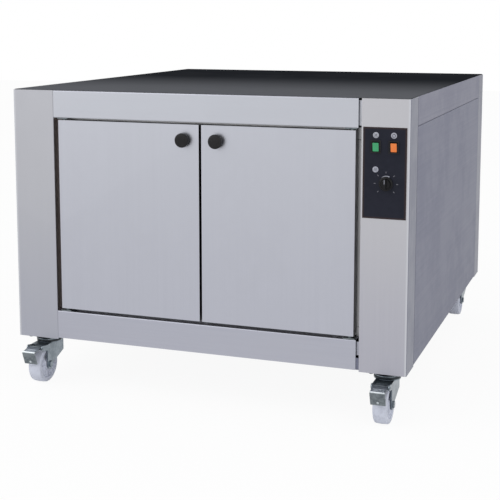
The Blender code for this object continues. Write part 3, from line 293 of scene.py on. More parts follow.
def makeFineTexture():
    # moulded or coated surface: small even bumps with a few larger soft ones
    tree, start, end = newGroup("fineTexture", {"Size": 900.0}, ("Height", "Mask"))
    grain = addNode(tree, "ShaderNodeTexNoise", {"Detail": 2.0, "Roughness": 0.6})
    share = addNode(tree, "ShaderNodeMath", {1: effect["cloudScale"]}, operation="MULTIPLY")
    cloud = addNode(tree, "ShaderNodeTexNoise", {"Detail": 3.0, "Roughness": 0.5})
    joinNodes(tree, (start["Position"], grain.inputs["Vector"]), (start["Size"], grain.inputs["Scale"]),
              (start["Size"], share.inputs[0]), (share.outputs[0], cloud.inputs["Scale"]),
              (start["Position"], cloud.inputs["Vector"]), (grain.outputs["Fac"], end["Height"]),
              (cloud.outputs["Fac"], end["Mask"]))
    return tree


brushedGrain = makeBrushedGrain()
smudges = makeSmudges()
fadeAlong = makeFade()
fineTexture = makeFineTexture()


def startMaterial(name, roughness, metallic, specular=0.5):
    look = bpy.data.materials.new(name)
    look.use_nodes = True
    tree = look.node_tree
    shader = tree.nodes["Principled BSDF"]
    for label, value in (("Roughness", roughness), ("Metallic", metallic), ("Specular IOR Level", specular)):
        shader.inputs[label].default_value = value
    position = tree.nodes.new("ShaderNodeTexCoord").outputs["Object"]
    return look, tree, shader, position


def useGroup(tree, group, position, values=None):
    node = addNode(tree, "ShaderNodeGroup", values, node_tree=group)
    tree.links.new(position, node.inputs["Position"])
    return node


def mixColors(tree, factor, first, second):
    # first and second are colours or sockets, factor a socket
    node = addNode(tree, "ShaderNodeMix", data_type="RGBA")
    tree.links.new(factor, node.inputs[0])
    for value, socket in ((first, node.inputs[6]), (second, node.inputs[7])):
        if isinstance(value, tuple):
            socket.default_value = (*value, 1.0)
        else:
            tree.links.new(value, socket)
    return node.outputs[2]


def spread(tree, source, low, high, fromLow=0.0, fromHigh=1.0):
    node = addNode(tree, "ShaderNodeMapRange",
                   {"From Min": fromLow, "From Max": fromHigh, "To Min": low, "To Max": high})
    tree.links.new(source, node.inputs["Value"])
    return node.outputs["Result"]


def addBump(tree, shader, height, skin):
    bump = addNode(tree, "ShaderNodeBump", {"Strength": skin["relief"], "Distance": skin["reliefDeep"]})
    joinNodes(tree, (height, bump.inputs["Height"]), (bump.outputs["Normal"], shader.inputs["Normal"]))


def fadeMask(tree, position, direction, low, high):
    fade = useGroup(tree, fadeAlong, position, {"Direction": direction, "Low": low, "High": high})
    return fade.outputs["Mask"]


def splitPosition(tree, position):
    parts = addNode(tree, "ShaderNodeSeparateXYZ")
    tree.links.new(position, parts.inputs[0])
    return parts.outputs


def outsideMask(tree, source, low, high):
    # 0 where the source lies nearer to zero than low, 1 from high on, smooth between
    size = addNode(tree, "ShaderNodeMath", operation="ABSOLUTE")
    ease = addNode(tree, "ShaderNodeMapRange", {"From Min": low, "From Max": high},
                   interpolation_type="SMOOTHSTEP")
    joinNodes(tree, (source, size.inputs[0]), (size.outputs[0], ease.inputs["Value"]))
    return ease.outputs["Result"]


def steelSheet(name, sheet):
    # satin sheet: two tones faded along the height as painted shade, streaks in tone, gloss and relief, wiped
    # patches;
    # the returns behind the front face, a rail's top bend and the outer side faces get painted shade, the
    # side edge's bend a painted highlight
    look, tree, shader, position = startMaterial(name, sheet["roughness"], sheet["metallic"])
    grain = useGroup(tree, brushedGrain, position, {"Stretch": sheet["stretch"]})
    wiped = useGroup(tree, smudges, position, {"Size": sheet["smudgeSize"]})
    # painted shade: the tone changes from low to high up the height
    tone = mixColors(tree, fadeMask(tree, position, (0, 0, 1), *sheet["fade"]), sheet["low"], sheet["high"])
    streaks = spread(tree, grain.outputs["Streak"], 0.0, sheet["streak"], *sheet["streakRange"])
    tone = mixColors(tree, streaks, tone, sheet["streakTone"])
    patches = spread(tree, wiped.outputs["Mask"], 0.0, sheet["smudge"])
    tone = mixColors(tree, patches, tone, sheet["smudgeTone"])
    # painted shade: the returns behind the front face and a rail's top bend take a darker tone
    for word, direction in (("return", (0, 1, 0)), ("top", (0, 0, 1))):
        if word + "Tone" in sheet:
            start = sheet[word + "From"]
            there = fadeMask(tree, position, direction, start, start + sheet[word + "Blend"])
            tone = mixColors(tree, there, tone, sheet[word + "Tone"])
    # painted highlight on the bend at the side edge, painted shade on the outer side faces
    if "sideShadeTone" in sheet:
        across = splitPosition(tree, position)["X"]
        tone = mixColors(tree, outsideMask(tree, across, *sheet["edgeAt"]), tone, sheet["edgeHighlightTone"])
        side = outsideMask(tree, across, *sheet["sideAt"])
        tone = mixColors(tree, side, tone, sheet["sideShadeTone"])
        metal = spread(tree, side, sheet["metallic"], sheet["sideMetallic"])
        tree.links.new(metal, shader.inputs["Metallic"])
    gloss = addNode(tree, "ShaderNodeMath", operation="ADD")
    streakGloss = spread(tree, grain.outputs["Streak"], sheet["roughness"] - sheet["smoother"],
                         sheet["roughness"] + sheet["rougher"], *sheet["glossRange"])
    joinNodes(tree, (tone, shader.inputs["Base Color"]), (streakGloss, gloss.inputs[0]),
              (spread(tree, wiped.outputs["Mask"], 0.0, sheet["smudgeGloss"]), gloss.inputs[1]),
              (gloss.outputs[0], shader.inputs["Roughness"]))
    addBump(tree, shader, grain.outputs["Height"], sheet)
    return look


# low and high, faded along the height: painted shade
sheetBase = {
    "roughness": 0.36, "metallic": 1.0, "fade": (0.10, 0.80), "low": (0.42, 0.42, 0.47),
    "high": (0.53, 0.54, 0.57), "streak": 0.22, "streakTone": (0.62, 0.63, 0.66), "streakRange": (0.35, 0.65),
    "smudge": 0.10, "smudgeTone": (0.47, 0.47, 0.50), "smudgeSize": 3.5, "smudgeGloss": 0.07,
    "smoother": 0.05, "rougher": 0.06, "glossRange": (0.3, 0.7), "relief": 0.25, "reliefDeep": 0.00006,
    "stretch": (1400, 1400, 9), "returnBlend": 0.0012, "topBlend": 0.0010,
}
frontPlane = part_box("left_front_post")[0].y
# painted shade: the door's edges behind its front face darkened, as in the shaded gaps
doorSteel = steelSheet("doorSteel", {
    **sheetBase, "low": (0.445, 0.455, 0.520), "high": (0.500, 0.512, 0.565),
    "streakTone": (0.555, 0.570, 0.625), "smudgeTone": (0.43, 0.435, 0.48),
    "returnFrom": frontPlane + 0.0022, "returnTone": (0.13, 0.13, 0.14)})
# edge tone: painted highlight on the corner bend; side tone: painted shade on the outer side faces
postSheet = {
    **sheetBase, "low": (0.41, 0.41, 0.47), "high": (0.50, 0.50, 0.53), "fade": (0.10, 0.62),
    "streak": 0.20, "streakTone": (0.56, 0.56, 0.60), "edgeAt": (0.5335, 0.5365),
    "edgeHighlightTone": (0.55, 0.56, 0.60), "sideAt": (0.5387, 0.5396), "sideShadeTone": (0.142, 0.150, 0.206),
    "sideMetallic": 0.25}
# painted shade: the post's return by the door gap is nearly black
controlPostSteel = steelSheet("controlPostSteel", {
    **postSheet, "returnFrom": frontPlane + 0.0016, "returnTone": (0.040, 0.040, 0.044)})
# painted shade: a darker copy of the post sheet, and a brownish painted shade and reflection on the return by
# the door gap
leftPostSteel = steelSheet("leftPostSteel", {
    **postSheet, "low": (0.385, 0.395, 0.455), "high": (0.455, 0.460, 0.495),
    "streakTone": (0.50, 0.505, 0.545), "returnFrom": frontPlane + 0.0030, "returnTone": (0.42, 0.345, 0.32)})
rearPostSteel = steelSheet("rearPostSteel", postSheet)
# painted shade: the top bend is darkened against the highlight it would catch
railSteel = steelSheet("railSteel", {
    **sheetBase, "stretch": (9, 1400, 1400), "fade": (0.20, 0.74), "low": (0.410, 0.418, 0.485),
    "high": (0.500, 0.515, 0.565), "streakTone": (0.56, 0.575, 0.625),
    "topFrom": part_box("top_front_rail")[1].z - 0.0026, "topTone": (0.34, 0.345, 0.39)})
sideSheet = {
    **sheetBase, "stretch": (1400, 9, 1400), "fade": (0.14, 0.78), "low": (0.157, 0.165, 0.226),
    "high": (0.151, 0.158, 0.222), "streak": 0.10, "streakTone": (0.172, 0.180, 0.242),
    "smudgeTone": (0.146, 0.152, 0.210), "smudge": 0.05, "roughness": 0.50, "metallic": 0.25}
sideSteel = steelSheet("sideSteel", sideSheet)
bandSteel = steelSheet("bandSteel", {
    **sideSheet, "low": (0.178, 0.183, 0.245), "high": (0.180, 0.184, 0.246)})
linerSteel = steelSheet("linerSteel", {
    **sheetBase, "stretch": (700, 9, 700), "low": (0.52, 0.52, 0.53), "high": (0.58, 0.58, 0.59),
    "roughness": 0.32, "streak": 0.20})

# front and back tones: painted reflection, lighter where grazing light meets the deck
deckCoat = {"front": (0.108, 0.112, 0.124), "back": (0.0150, 0.0165, 0.0200), "fade": (-0.50, 0.25),
            "scuff": (0.055, 0.057, 0.062), "scuffs": 0.10, "scuffSize": 5.0, "grain": 700.0,
            "roughness": 0.75, "gloss": (0.66, 0.86), "relief": 0.35, "reliefDeep": 0.00012}


def deckCoating():
    # matte dark coat with faint scuffs: darkest at the back, greyer towards the front edge, as a painted
    # reflection
    look, tree, shader, position = startMaterial("deckCoating", deckCoat["roughness"], 0.0, 0.0)
    cloud = useGroup(tree, smudges, position, {"Size": deckCoat["scuffSize"]})
    texture = useGroup(tree, fineTexture, position, {"Size": deckCoat["grain"]})
    # painted reflection: greyer towards the front
    fade = fadeMask(tree, position, (0, 1, 0), *deckCoat["fade"])
    tone = mixColors(tree, fade, deckCoat["front"], deckCoat["back"])
    scuffs = spread(tree, cloud.outputs["Mask"], 0.0, deckCoat["scuffs"])
    tone = mixColors(tree, scuffs, tone, deckCoat["scuff"])
    joinNodes(tree, (tone, shader.inputs["Base Color"]),
              (spread(tree, texture.outputs["Mask"], *deckCoat["gloss"]), shader.inputs["Roughness"]))
    addBump(tree, shader, texture.outputs["Height"], deckCoat)
    return look


plating = {"metallic": 1.0, "cloud": 26.0, "patches": 0.7, "grain": 1600.0, "smoother": 0.07, "rougher": 0.12,
           "relief": 0.15, "reliefDeep": 0.00004}
moulding = {"metallic": 0.0, "cloud": 30.0, "patches": 0.55, "grain": 1200.0, "smoother": 0.06,
            "rougher": 0.10, "relief": 0.25, "reliefDeep": 0.00008}


def cloudySkin(name, skin, tone, patchTone, roughness, specular=0.5):
    # plating, moulded plastic or rubber: cloudy in tone and gloss, with a fine even relief
    look, tree, shader, position = startMaterial(name, roughness, skin["metallic"], specular)
    cloud = useGroup(tree, smudges, position, {"Size": skin["cloud"]})
    texture = useGroup(tree, fineTexture, position, {"Size": skin["grain"]})
    blended = mixColors(tree, spread(tree, cloud.outputs["Mask"], 0.0, skin["patches"]), tone, patchTone)
    gloss = spread(tree, texture.outputs["Mask"], roughness - skin["smoother"], roughness + skin["rougher"])
    joinNodes(tree, (blended, shader.inputs["Base Color"]), (gloss, shader.inputs["Roughness"]))
    addBump(tree, shader, texture.outputs["Height"], skin)
    return look


lens = {"roughness": 0.22, "coat": 0.4, "coatRoughness": 0.1, "grain": 420.0, "patches": 0.7,
        "patchRange": (0.35, 0.65), "relief": 0.08, "reliefDeep": 0.00006}


def litLens(name, tone, deep, glow):
    # coloured lens with a lamp behind it: clouded between two tones, which it gives off as well
    look, tree, shader, position = startMaterial(name, lens["roughness"], 0.0)
    for label, value in (("Coat Weight", lens["coat"]), ("Coat Roughness", lens["coatRoughness"]),
                         ("Emission Strength", glow)):
        shader.inputs[label].default_value = value
    texture = useGroup(tree, fineTexture, position, {"Size": lens["grain"]})
    patches = spread(tree, texture.outputs["Mask"], 0.0, lens["patches"], *lens["patchRange"])
    blended = mixColors(tree, patches, tone, deep)
    joinNodes(tree, (blended, shader.inputs["Base Color"]), (blended, shader.inputs["Emission Color"]))
    addBump(tree, shader, texture.outputs["Height"], lens)
    return look


film = {"field": (0.0105, 0.012, 0.021), "patch": (0.020, 0.021, 0.034), "patches": 0.25, "patchSize": 14.0,
        "edge": (0.034, 0.022, 0.022), "border": 0.0065, "rim": 0.0004, "roughness": 0.50, "specular": 0.15,
        "grain": 1500.0, "gloss": (0.46, 0.60), "relief": 0.12, "reliefDeep": 0.00005}


def faciaFilm(low, high):
    # dark printed film: near black field, a warmer thin border where the film ends, fine satin skin
    look, tree, shader, position = startMaterial("faciaFilm", film["roughness"], 0.0, film["specular"])
    shifted = addNode(tree, "ShaderNodeVectorMath", {1: tuple(-(low + high) / 2)}, operation="ADD")
    tree.links.new(position, shifted.inputs[0])
    parts = splitPosition(tree, shifted.outputs[0])
    edge = addNode(tree, "ShaderNodeMath", operation="MAXIMUM")
    for place, (axis, half) in enumerate((("X", (high[0] - low[0]) / 2), ("Z", (high[2] - low[2]) / 2))):
        near = outsideMask(tree, parts[axis], half - film["border"], half - film["rim"])
        tree.links.new(near, edge.inputs[place])
    texture = useGroup(tree, fineTexture, position, {"Size": film["grain"]})
    cloud = useGroup(tree, smudges, position, {"Size": film["patchSize"]})
    patches = spread(tree, cloud.outputs["Mask"], 0.0, film["patches"])
    tone = mixColors(tree, patches, film["field"], film["patch"])
    tone = mixColors(tree, edge.outputs[0], tone, film["edge"])
    joinNodes(tree, (tone, shader.inputs["Base Color"]),
              (spread(tree, texture.outputs["Mask"], *film["gloss"]), shader.inputs["Roughness"]))
    addBump(tree, shader, texture.outputs["Height"], film)
    return look


deckDark = deckCoating()
zincBright = cloudySkin("zincBright", plating, (0.265, 0.305, 0.340), (0.150, 0.178, 0.205), 0.30)
# painted shade: a dark copy of the plating for the band round the fork's head
zincShadeDark = cloudySkin("zincShadeDark", plating, (0.030, 0.034, 0.040), (0.060, 0.068, 0.075), 0.42)
zincDull = cloudySkin("zincDull", plating, (0.20, 0.225, 0.240), (0.085, 0.10, 0.115), 0.30)
# painted highlight: a lighter copy of the plating, for the pedal's roll, ridges and stud
zincHighlight = cloudySkin("zincHighlight", plating, (0.60, 0.64, 0.67), (0.36, 0.40, 0.43), 0.22)
sheathMetal = cloudySkin("sheathMetal", plating, (0.17, 0.15, 0.14), (0.27, 0.21, 0.16), 0.45)
brassMetal = cloudySkin("brassMetal", plating, (0.66, 0.47, 0.20), (0.52, 0.34, 0.14), 0.33)
blackKnob = cloudySkin("blackKnob", moulding, (0.0085, 0.0080, 0.0090), (0.019, 0.018, 0.020), 0.40, 0.22)
blackDial = cloudySkin("blackDial", moulding, (0.0040, 0.0042, 0.0050), (0.010, 0.010, 0.012), 0.30, 0.20)
blackCase = cloudySkin("blackCase", moulding, (0.010, 0.010, 0.012), (0.020, 0.020, 0.022), 0.50, 0.20)
wheelGrey = cloudySkin("wheelGrey", {**moulding, "grain": 800.0, "relief": 0.3}, (0.61, 0.64, 0.74),
                       (0.46, 0.48, 0.57), 0.50)
# painted shade: near black, for the sleeve round the ball race
raceShadeBlack = cloudySkin("raceShadeBlack", {**moulding, "grain": 900.0}, (0.0030, 0.0032, 0.0050),
                       (0.008, 0.008, 0.010), 0.60, 0.1)
sealRubber = cloudySkin("sealRubber", {**moulding, "grain": 900.0, "relief": 0.5}, (0.022, 0.018, 0.016),
                        (0.050, 0.040, 0.034), 0.72)
printed = {**moulding, "relief": 0.1}
paleMark = cloudySkin("paleMark", printed, (0.35, 0.36, 0.42), (0.27, 0.28, 0.34), 0.45)
dimMark = cloudySkin("dimMark", printed, (0.17, 0.17, 0.20), (0.12, 0.12, 0.15), 0.5)
greenLens = litLens("greenLens", (0.015, 0.28, 0.105), (0.009, 0.19, 0.065), 0.18)
orangeLens = litLens("orangeLens", (0.68, 0.180, 0.015), (0.55, 0.11, 0.006), 0.24)
faciaLook = faciaFilm(*[np.array(corner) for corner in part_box("control_facia")])
print("materials made")


# ---- materials for the solids that stay as they are

def dress(look, *nodes):
    for node in nodes:
        for place in frame["nodes"][node].material_slots:
            place.material = look


corners = ("front_left", "front_right", "rear_left", "rear_right")
dress(doorSteel, "left_door_shell", "right_door_shell")
dress(leftPostSteel, "left_front_post")
dress(controlPostSteel, "control_post")
dress(rearPostSteel, "left_rear_post", "right_rear_post")
dress(railSteel, "top_front_rail", "bottom_front_rail")
dress(bandSteel, "left_top_band", "right_top_band")
dress(sideSteel, "left_side_panel", "right_side_panel", "back_panel", "base_pan")
dress(linerSteel, "chamber_floor", "chamber_ceiling", "chamber_left_wall", "chamber_right_wall",
      "chamber_back", "left_rack", "right_rack", "heater_guard", "water_pan", "left_door_liner",
      "right_door_liner")
dress(deckDark, "top_deck")
dress(zincBright, *[corner + "_castor_fork" for corner in corners],
      *[corner + "_castor_plate" for corner in corners], "thermostat_spindle")
dress(zincDull, "front_left_brake_pedal", "front_right_brake_pedal", "left_top_pivot", "left_bottom_pivot",
      "right_top_pivot", "right_bottom_pivot")
dress(sheathMetal, "heating_element")
dress(brassMetal, "thermostat_body", "thermostat_capillary")
dress(blackCase, "green_switch_housing", "orange_switch_housing", "door_catch", "terminal_block",
      "cable_gland")
dress(sealRubber, "door_seal")
dress(faciaLook, "control_facia")
print("solids dressed")


# ---- door knobs

doorKnob = {"segments": 96, "stem": 0.40, "head": 0.345, "flare": 0.0016, "foot": 0.0008, "frontBend": 0.0052,
            "backBend": 0.0030, "rimBack": 0.0010, "crown": 0.0009, "waist": (0.12, 0.95, 7),
            "face": (0.9, 0.7, 0.45, 0.2, 0)}


def addDoorKnob(side):
    # turned knob: a slim waisted stem under a broad head with rounded rims and a slightly crowned front;
    # stem and head are shares of the radius and of the length
    node = side + "_door_knob"
    low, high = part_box(node)
    centre = ((low.x + high.x) / 2, high.y, (low.z + high.z) / 2)
    radius = (high.x - low.x) / 2
    length = high.y - low.y
    stem, head, flare = radius * doorKnob["stem"], length * doorKnob["head"], doorKnob["flare"]
    front, back = doorKnob["frontBend"], doorKnob["backBend"]
    rows = [(0, 0), (stem + flare, 0), (stem + flare, doorKnob["foot"])]
    rows += [(stem + flare * (1 - math.sin(math.pi * share)) ** 2, head * share)
             for share in np.linspace(*doorKnob["waist"])]
    rows += arcRows(radius - back, head + back, back, -90, 0)
    rows += arcRows(radius - front, length - doorKnob["rimBack"] - front, front, 0, 78)
    rows += [((radius - front) * share, length - doorKnob["crown"] * share ** 2)
             for share in doorKnob["face"]]
    radii, along = zip(*rows)
    makePiece(side + "_knob_turned", [lathe(centre, (0, -1, 0), radii, along, doorKnob["segments"])],
              blackKnob, side + "_door", (node,))


addDoorKnob("left")
addDoorKnob("right")
print("door knobs made")


# ---- lit rocker switches

rocker = {"points": 64, "corner": 0.0022, "edge": 0.0011, "hollow": 0.0012, "hollowPower": 1.6,
          "sideFrame": 0.0017, "endFrame": 0.0004, "windowLift": 0.0003, "windowCorner": 0.0012,
          "windowDeep": 0.0008, "windowEdge": 0.0002, "pinFree": 0.0002, "reach": 0.0060, "foot": 0.0022,
          "rootIn": 0.0006, "rootHigh": 0.80, "pivotIn": 0.0051, "tilt": 8,
          "shares": (0.92, 0.8, 0.64, 0.46, 0.28, 0.12, 0)}


def addRocker(word, look):
    # the body: a rounded block whose face dips in the middle and rises to both ends, like a shallow V, and
    # whose ends draw in towards the pivot, so that it can swing; the window: a coloured plate of the same
    # dip, narrower by the frame, that stands just proud of it; both lean by the angle that the solid has
    node = word + "_rocker"
    low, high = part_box(node)
    caseLow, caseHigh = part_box(word + "_switch_housing")
    pivot = np.array(((low.x + high.x) / 2, caseLow.y + rocker["pivotIn"], (caseLow.z + caseHigh.z) / 2))
    halfWide, halfHigh = (high.x - low.x) / 2 - rocker["pinFree"], (high.z - low.z) / 2
    deep, edge, lift = rocker["reach"], rocker["edge"], rocker["windowLift"]
    turn = math.radians(rocker["tilt"])

    def dip(a, b):
        slope = np.clip((np.abs(b) / halfHigh), 0, 1)
        return -rocker["hollow"] * (1 - slope ** rocker["hollowPower"]) - lift

    def leaned(shape):
        # z grows with the distance from the pivot's plane, then y and z turn about the pivot
        points, faces = shape[0] - pivot, shape[1]
        tall = points[:, 2] * (rocker["rootHigh"] - (1 - rocker["rootHigh"]) * points[:, 1] / deep)
        turned = (points[:, 0], points[:, 1] * math.cos(turn) - tall * math.sin(turn),
                  points[:, 1] * math.sin(turn) + tall * math.cos(turn))
        return (np.stack(turned, 1) + pivot, faces)

    root = rocker["rootIn"]
    rows = [(root, 0, 0), (root, 1, 0), (0, 1, rocker["foot"]), (0, 1, deep - edge)]
    rows += [(edge - a, 1, deep - edge + b) for a, b in arcRows(0, 0, edge, 12, 90, 5)]
    rows += [(edge, scale, deep) for scale in rocker["shares"]]
    body = roundedPanel(pivot, halfWide, halfHigh, rocker["corner"], rows, count=rocker["points"], bulge=dip)
    makePiece(word + "_rocker_body", [leaned(body)], blackCase, word + "_switch", (node,))
    back, rim = deep - rocker["windowDeep"], rocker["windowEdge"]
    rows = [(0, 0, back), (0, 1, back), (0, 1, deep + lift * 0.5), (rim, 1, deep + lift)]
    rows += [(rim, scale, deep + lift) for scale in rocker["shares"]]
    window = roundedPanel(pivot, halfWide - rocker["sideFrame"], halfHigh - rocker["endFrame"],
                          rocker["windowCorner"], rows, count=rocker["points"], bulge=dip)
    makePiece(word + "_rocker_window", [leaned(window)], look, word + "_switch")


addRocker("green", greenLens)
addRocker("orange", orangeLens)
print("rockers made")


# ---- thermostat knob, pointer, printed marks and a painted highlight on the facia

faciaLow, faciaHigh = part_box("control_facia")
knobLow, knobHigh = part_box("thermostat_knob")
dialCentre = middleOf("thermostat_knob")

dial = {"segments": 96, "ribs": 24, "ribDepth": 0.00035, "bore": 0.0033, "skirt": 0.21, "rise": 0.63,
        "edge": 0.0008, "slope": 0.0012, "foot": ((0.82, 0.0004), (0.795, 0.0012)),
        "shoulder": ((0.78, 0.0016), (0.73, 0.0003), (0.40, 0), (0, 0))}
grip = {"halfWide": 0.0034, "long": 0.77, "corner": 0.0030, "bend": 0.0016, "sunk": 0.0002, "points": 40}
pointer = {"halfWide": 0.0006, "at": 0.40, "long": 0.32, "corner": 0.0005, "sunk": 0.0002, "lift": 0.0001,
           "crown": 0.00015, "points": 16}


def addThermostatKnob():
    # skirt and body turned with small ribs in the rim, and a grip bar with round ends across the front;
    # foot and shoulder hold shares of the radius and the distance up from the skirt or down from the top
    radius = (knobHigh.x - knobLow.x) / 2
    deep = knobHigh.y - knobLow.y
    skirt, rise, edge = deep * dial["skirt"], deep * dial["rise"], dial["edge"]
    rows = [(dial["bore"], 0), (radius - edge, 0), (radius, edge), (radius, skirt - edge),
            (radius - dial["slope"], skirt)]
    rows += [(radius * share, skirt + up) for share, up in dial["foot"]]
    flank = len(rows) - 1
    rows += [(radius * share, rise - down) for share, down in dial["shoulder"]]
    radii, along = np.array(rows).T
    t = np.arange(dial["segments"]) * 2 * math.pi / dial["segments"]
    ribbed = np.zeros((len(radii), dial["segments"]))
    ribbed[flank:flank + 2] = dial["ribDepth"] * (0.5 + 0.5 * np.cos(dial["ribs"] * t))
    base = (dialCentre[0], knobHigh.y, dialCentre[2])
    body = lathe(base, (0, -1, 0), radii[:, None] - ribbed, along, dial["segments"])
    bend, top = grip["bend"], deep - rise
    rows = [(0, 0, 0), (0, 1, 0), (0, 1, top - bend)]
    rows += [(bend - a, 1, top - bend + b) for a, b in arcRows(0, 0, bend, 10, 90, 5)] + [(bend, 0, top)]
    bar = roundedPanel((base[0], knobHigh.y - rise + grip["sunk"], base[2]), grip["halfWide"],
                       radius * grip["long"], grip["corner"], rows, count=grip["points"])
    makePiece("thermostat_knob_ribbed", [body, bar], blackDial, "thermostat_dial",
              ("thermostat_knob",))
    lift = pointer["lift"]
    line = roundedPanel((base[0], knobLow.y + pointer["sunk"], base[2] + radius * pointer["at"]),
                        pointer["halfWide"], radius * pointer["long"], pointer["corner"],
                        [(0, 0, -lift), (0, 1, -lift), (0, 1, lift), (0, 0, pointer["crown"])],
                        count=pointer["points"])
    makePiece("thermostat_pointer_line", [line], paleMark, "thermostat_dial")


# the band values draw the pale scale arc, a painted highlight above the knob
mark = {"lift": 0.0003, "cap": 0.0001, "tickRadius": 0.0255, "ticks": 7, "tickFrom": -135, "tickTo": 135,
        "tickLong": 0.0042, "tickWide": 0.0014, "bandIn": 0.0178, "bandOut": 0.0205, "bandFrom": -33,
        "bandTo": 26, "bandSteps": 25, "bandThin": 0.35}


def clockwise(t, radius=1.0):
    # x and z of a point at the angle t from the top of the dial
    return radius * np.sin(t), radius * np.cos(t)


def addDialMarks():
    # small bars pointing to the dial's middle, spread evenly over its turn
    bars = []
    for angle in np.radians(np.linspace(mark["tickFrom"], mark["tickTo"], mark["ticks"])):
        x, z = clockwise(angle)
        outward = np.array((x, 0, z))
        start = np.array((dialCentre[0], faciaLow.y, dialCentre[2])) + outward * mark["tickRadius"]
        steps = np.linspace(0, mark["tickLong"], 3)[:, None]
        bars.append(sweepBar(start + steps * outward, mark["tickWide"] / 2, mark["lift"], (z, 0, -x),
                             mark["cap"]))
    makePiece("dial_ticks", bars, dimMark, "cabinet")
    # the printed scale, drawn pale as a painted highlight above the knob: a thin band between two radii that
    # widens with the turn
    t = np.radians(np.linspace(mark["bandFrom"], mark["bandTo"], mark["bandSteps"]))
    grow = np.linspace(mark["bandThin"], 1.0, mark["bandSteps"]) * (mark["bandOut"] - mark["bandIn"])
    inner, outer = mark["bandIn"] + 0 * t, mark["bandIn"] + grow
    under, lift = surface["below"], mark["lift"] * 0.5
    rows = []
    for radius, y in ((inner, under), (outer, under), (outer, -lift), (inner, -lift)):
        x, z = clockwise(t, radius)
        rows.append(np.stack((dialCentre[0] + x, faciaLow.y + y + 0 * t, dialCentre[2] + z), axis=1))
    grid = np.stack(rows, axis=1)
    middle = grid.mean(axis=1, keepdims=True) + 0 * grid
    makePiece("dial_scale_highlight_band", [gridShape(np.concatenate((middle[:1], grid, middle[-1:])))], paleMark,
              "cabinet")


disc = {"segments": 48, "radius": 0.0072, "lift": 0.0006, "rim": 0.0003, "rimDeep": 0.0002,
        "places": ((-0.0220, 0.0190), (0.0220, 0.0190), (-0.0220, 0.1020))}   # across and down from the top
sign = {"thick": 0.00012, "barThick": 0.00016, "lampRing": 0.30, "lampLine": 0.00045,
        "rays": (45, 135, 225, 315), "rayFrom": 0.45, "rayTo": 0.72, "rayWide": 0.00035, "switchRing": 0.52,
        "switchLine": 0.0005, "barShares": (0.25, 0.50, 0.75), "waves": (-0.0026, 0, 0.0026),
        "waveHalf": 0.5, "waveSteps": 13, "waveSide": 0.0007, "waveTurn": 900, "waveWide": 0.0004}


def ringShape(centre, radius, half):
    # thin flat ring facing the front: a small oval section carried round a circle
    t = np.arange(8) * math.pi / 4
    return lathe(centre, (0, -1, 0), radius + half * np.cos(t), sign["thick"] * np.sin(t), 40, closed=True)


def lampSign(front, radius):
    # a ring with four short rays
    shapes = [ringShape(front, radius * sign["lampRing"], sign["lampLine"])]
    for angle in np.radians(sign["rays"]):
        x, z = clockwise(angle)
        steps = np.linspace(radius * sign["rayFrom"], radius * sign["rayTo"], 3)[:, None]
        shapes.append(sweepBar(front + steps * np.array((x, 0, z)), sign["rayWide"], sign["thick"],
                               (z, 0, -x), mark["cap"]))
    return shapes


def switchSign(front, radius):
    # on and off: a ring with a bar at its top
    steps = np.array([(0, 0, radius * share) for share in sign["barShares"]])
    return [ringShape(front, radius * sign["switchRing"], sign["switchLine"]),
            sweepBar(front + steps, sign["switchLine"], sign["barThick"], (1, 0, 0), mark["cap"])]


def warmthSign(front, radius):
    # three rising waves, x = shift + side * sin(turn * z)
    z = np.linspace(-radius * sign["waveHalf"], radius * sign["waveHalf"], sign["waveSteps"])
    waves = [np.stack((shift + sign["waveSide"] * np.sin(z * sign["waveTurn"]), 0 * z, z), axis=1)
             for shift in sign["waves"]]
    return [sweepBar(front + wave, sign["waveWide"], sign["thick"], (1, 0, 0), mark["cap"]) for wave in waves]


def addDiscs():
    # thin round tokens with a soft rim, and plain generic signs drawn on them by short bars and rings
    radius, lift, under = disc["radius"], disc["lift"], -surface["below"]
    rounds, signs = [], []
    for (across, down), drawSign in zip(disc["places"], (lampSign, switchSign, warmthSign)):
        centre = np.array(((faciaLow.x + faciaHigh.x) / 2 + across, faciaLow.y, faciaHigh.z - down))
        rounds.append(lathe(centre, (0, -1, 0), (0, radius, radius, radius - disc["rim"], 0),
                            (under, under, lift - disc["rimDeep"], lift, lift), disc["segments"]))
        signs += drawSign(centre + np.array((0, -lift, 0)), radius)
    makePiece("facia_discs", rounds, paleMark, "cabinet")
    makePiece("facia_signs", signs, blackCase, "cabinet")


addThermostatKnob()
addDialMarks()
addDiscs()
print("facia pieces made")


# ---- castors

# side: the rows of a side face from the bore to the tread, as radius and distance in from the face
wheel = {"segments": 128, "ribs": 8, "ribRise": 0.0032, "ribSharp": 6, "ribFrom": 0.0175, "ribTo": 0.0355,
         "treadBend": 0.0045, "crown": 0.0006, "sharp": 30, "bore": 0.0053,
         "side": ((0.0053, 0.0006), (0.0062, 0), (0.0145, 0), (0.0158, 0.0008), (0.0168, 0.0040),
                  (0.0185, 0.0062), (0.0240, 0.0070), (0.0300, 0.0070), (0.0345, 0.0062), (0.0360, 0.0040),
                  (0.0372, 0.0008), (0.0385, 0))}


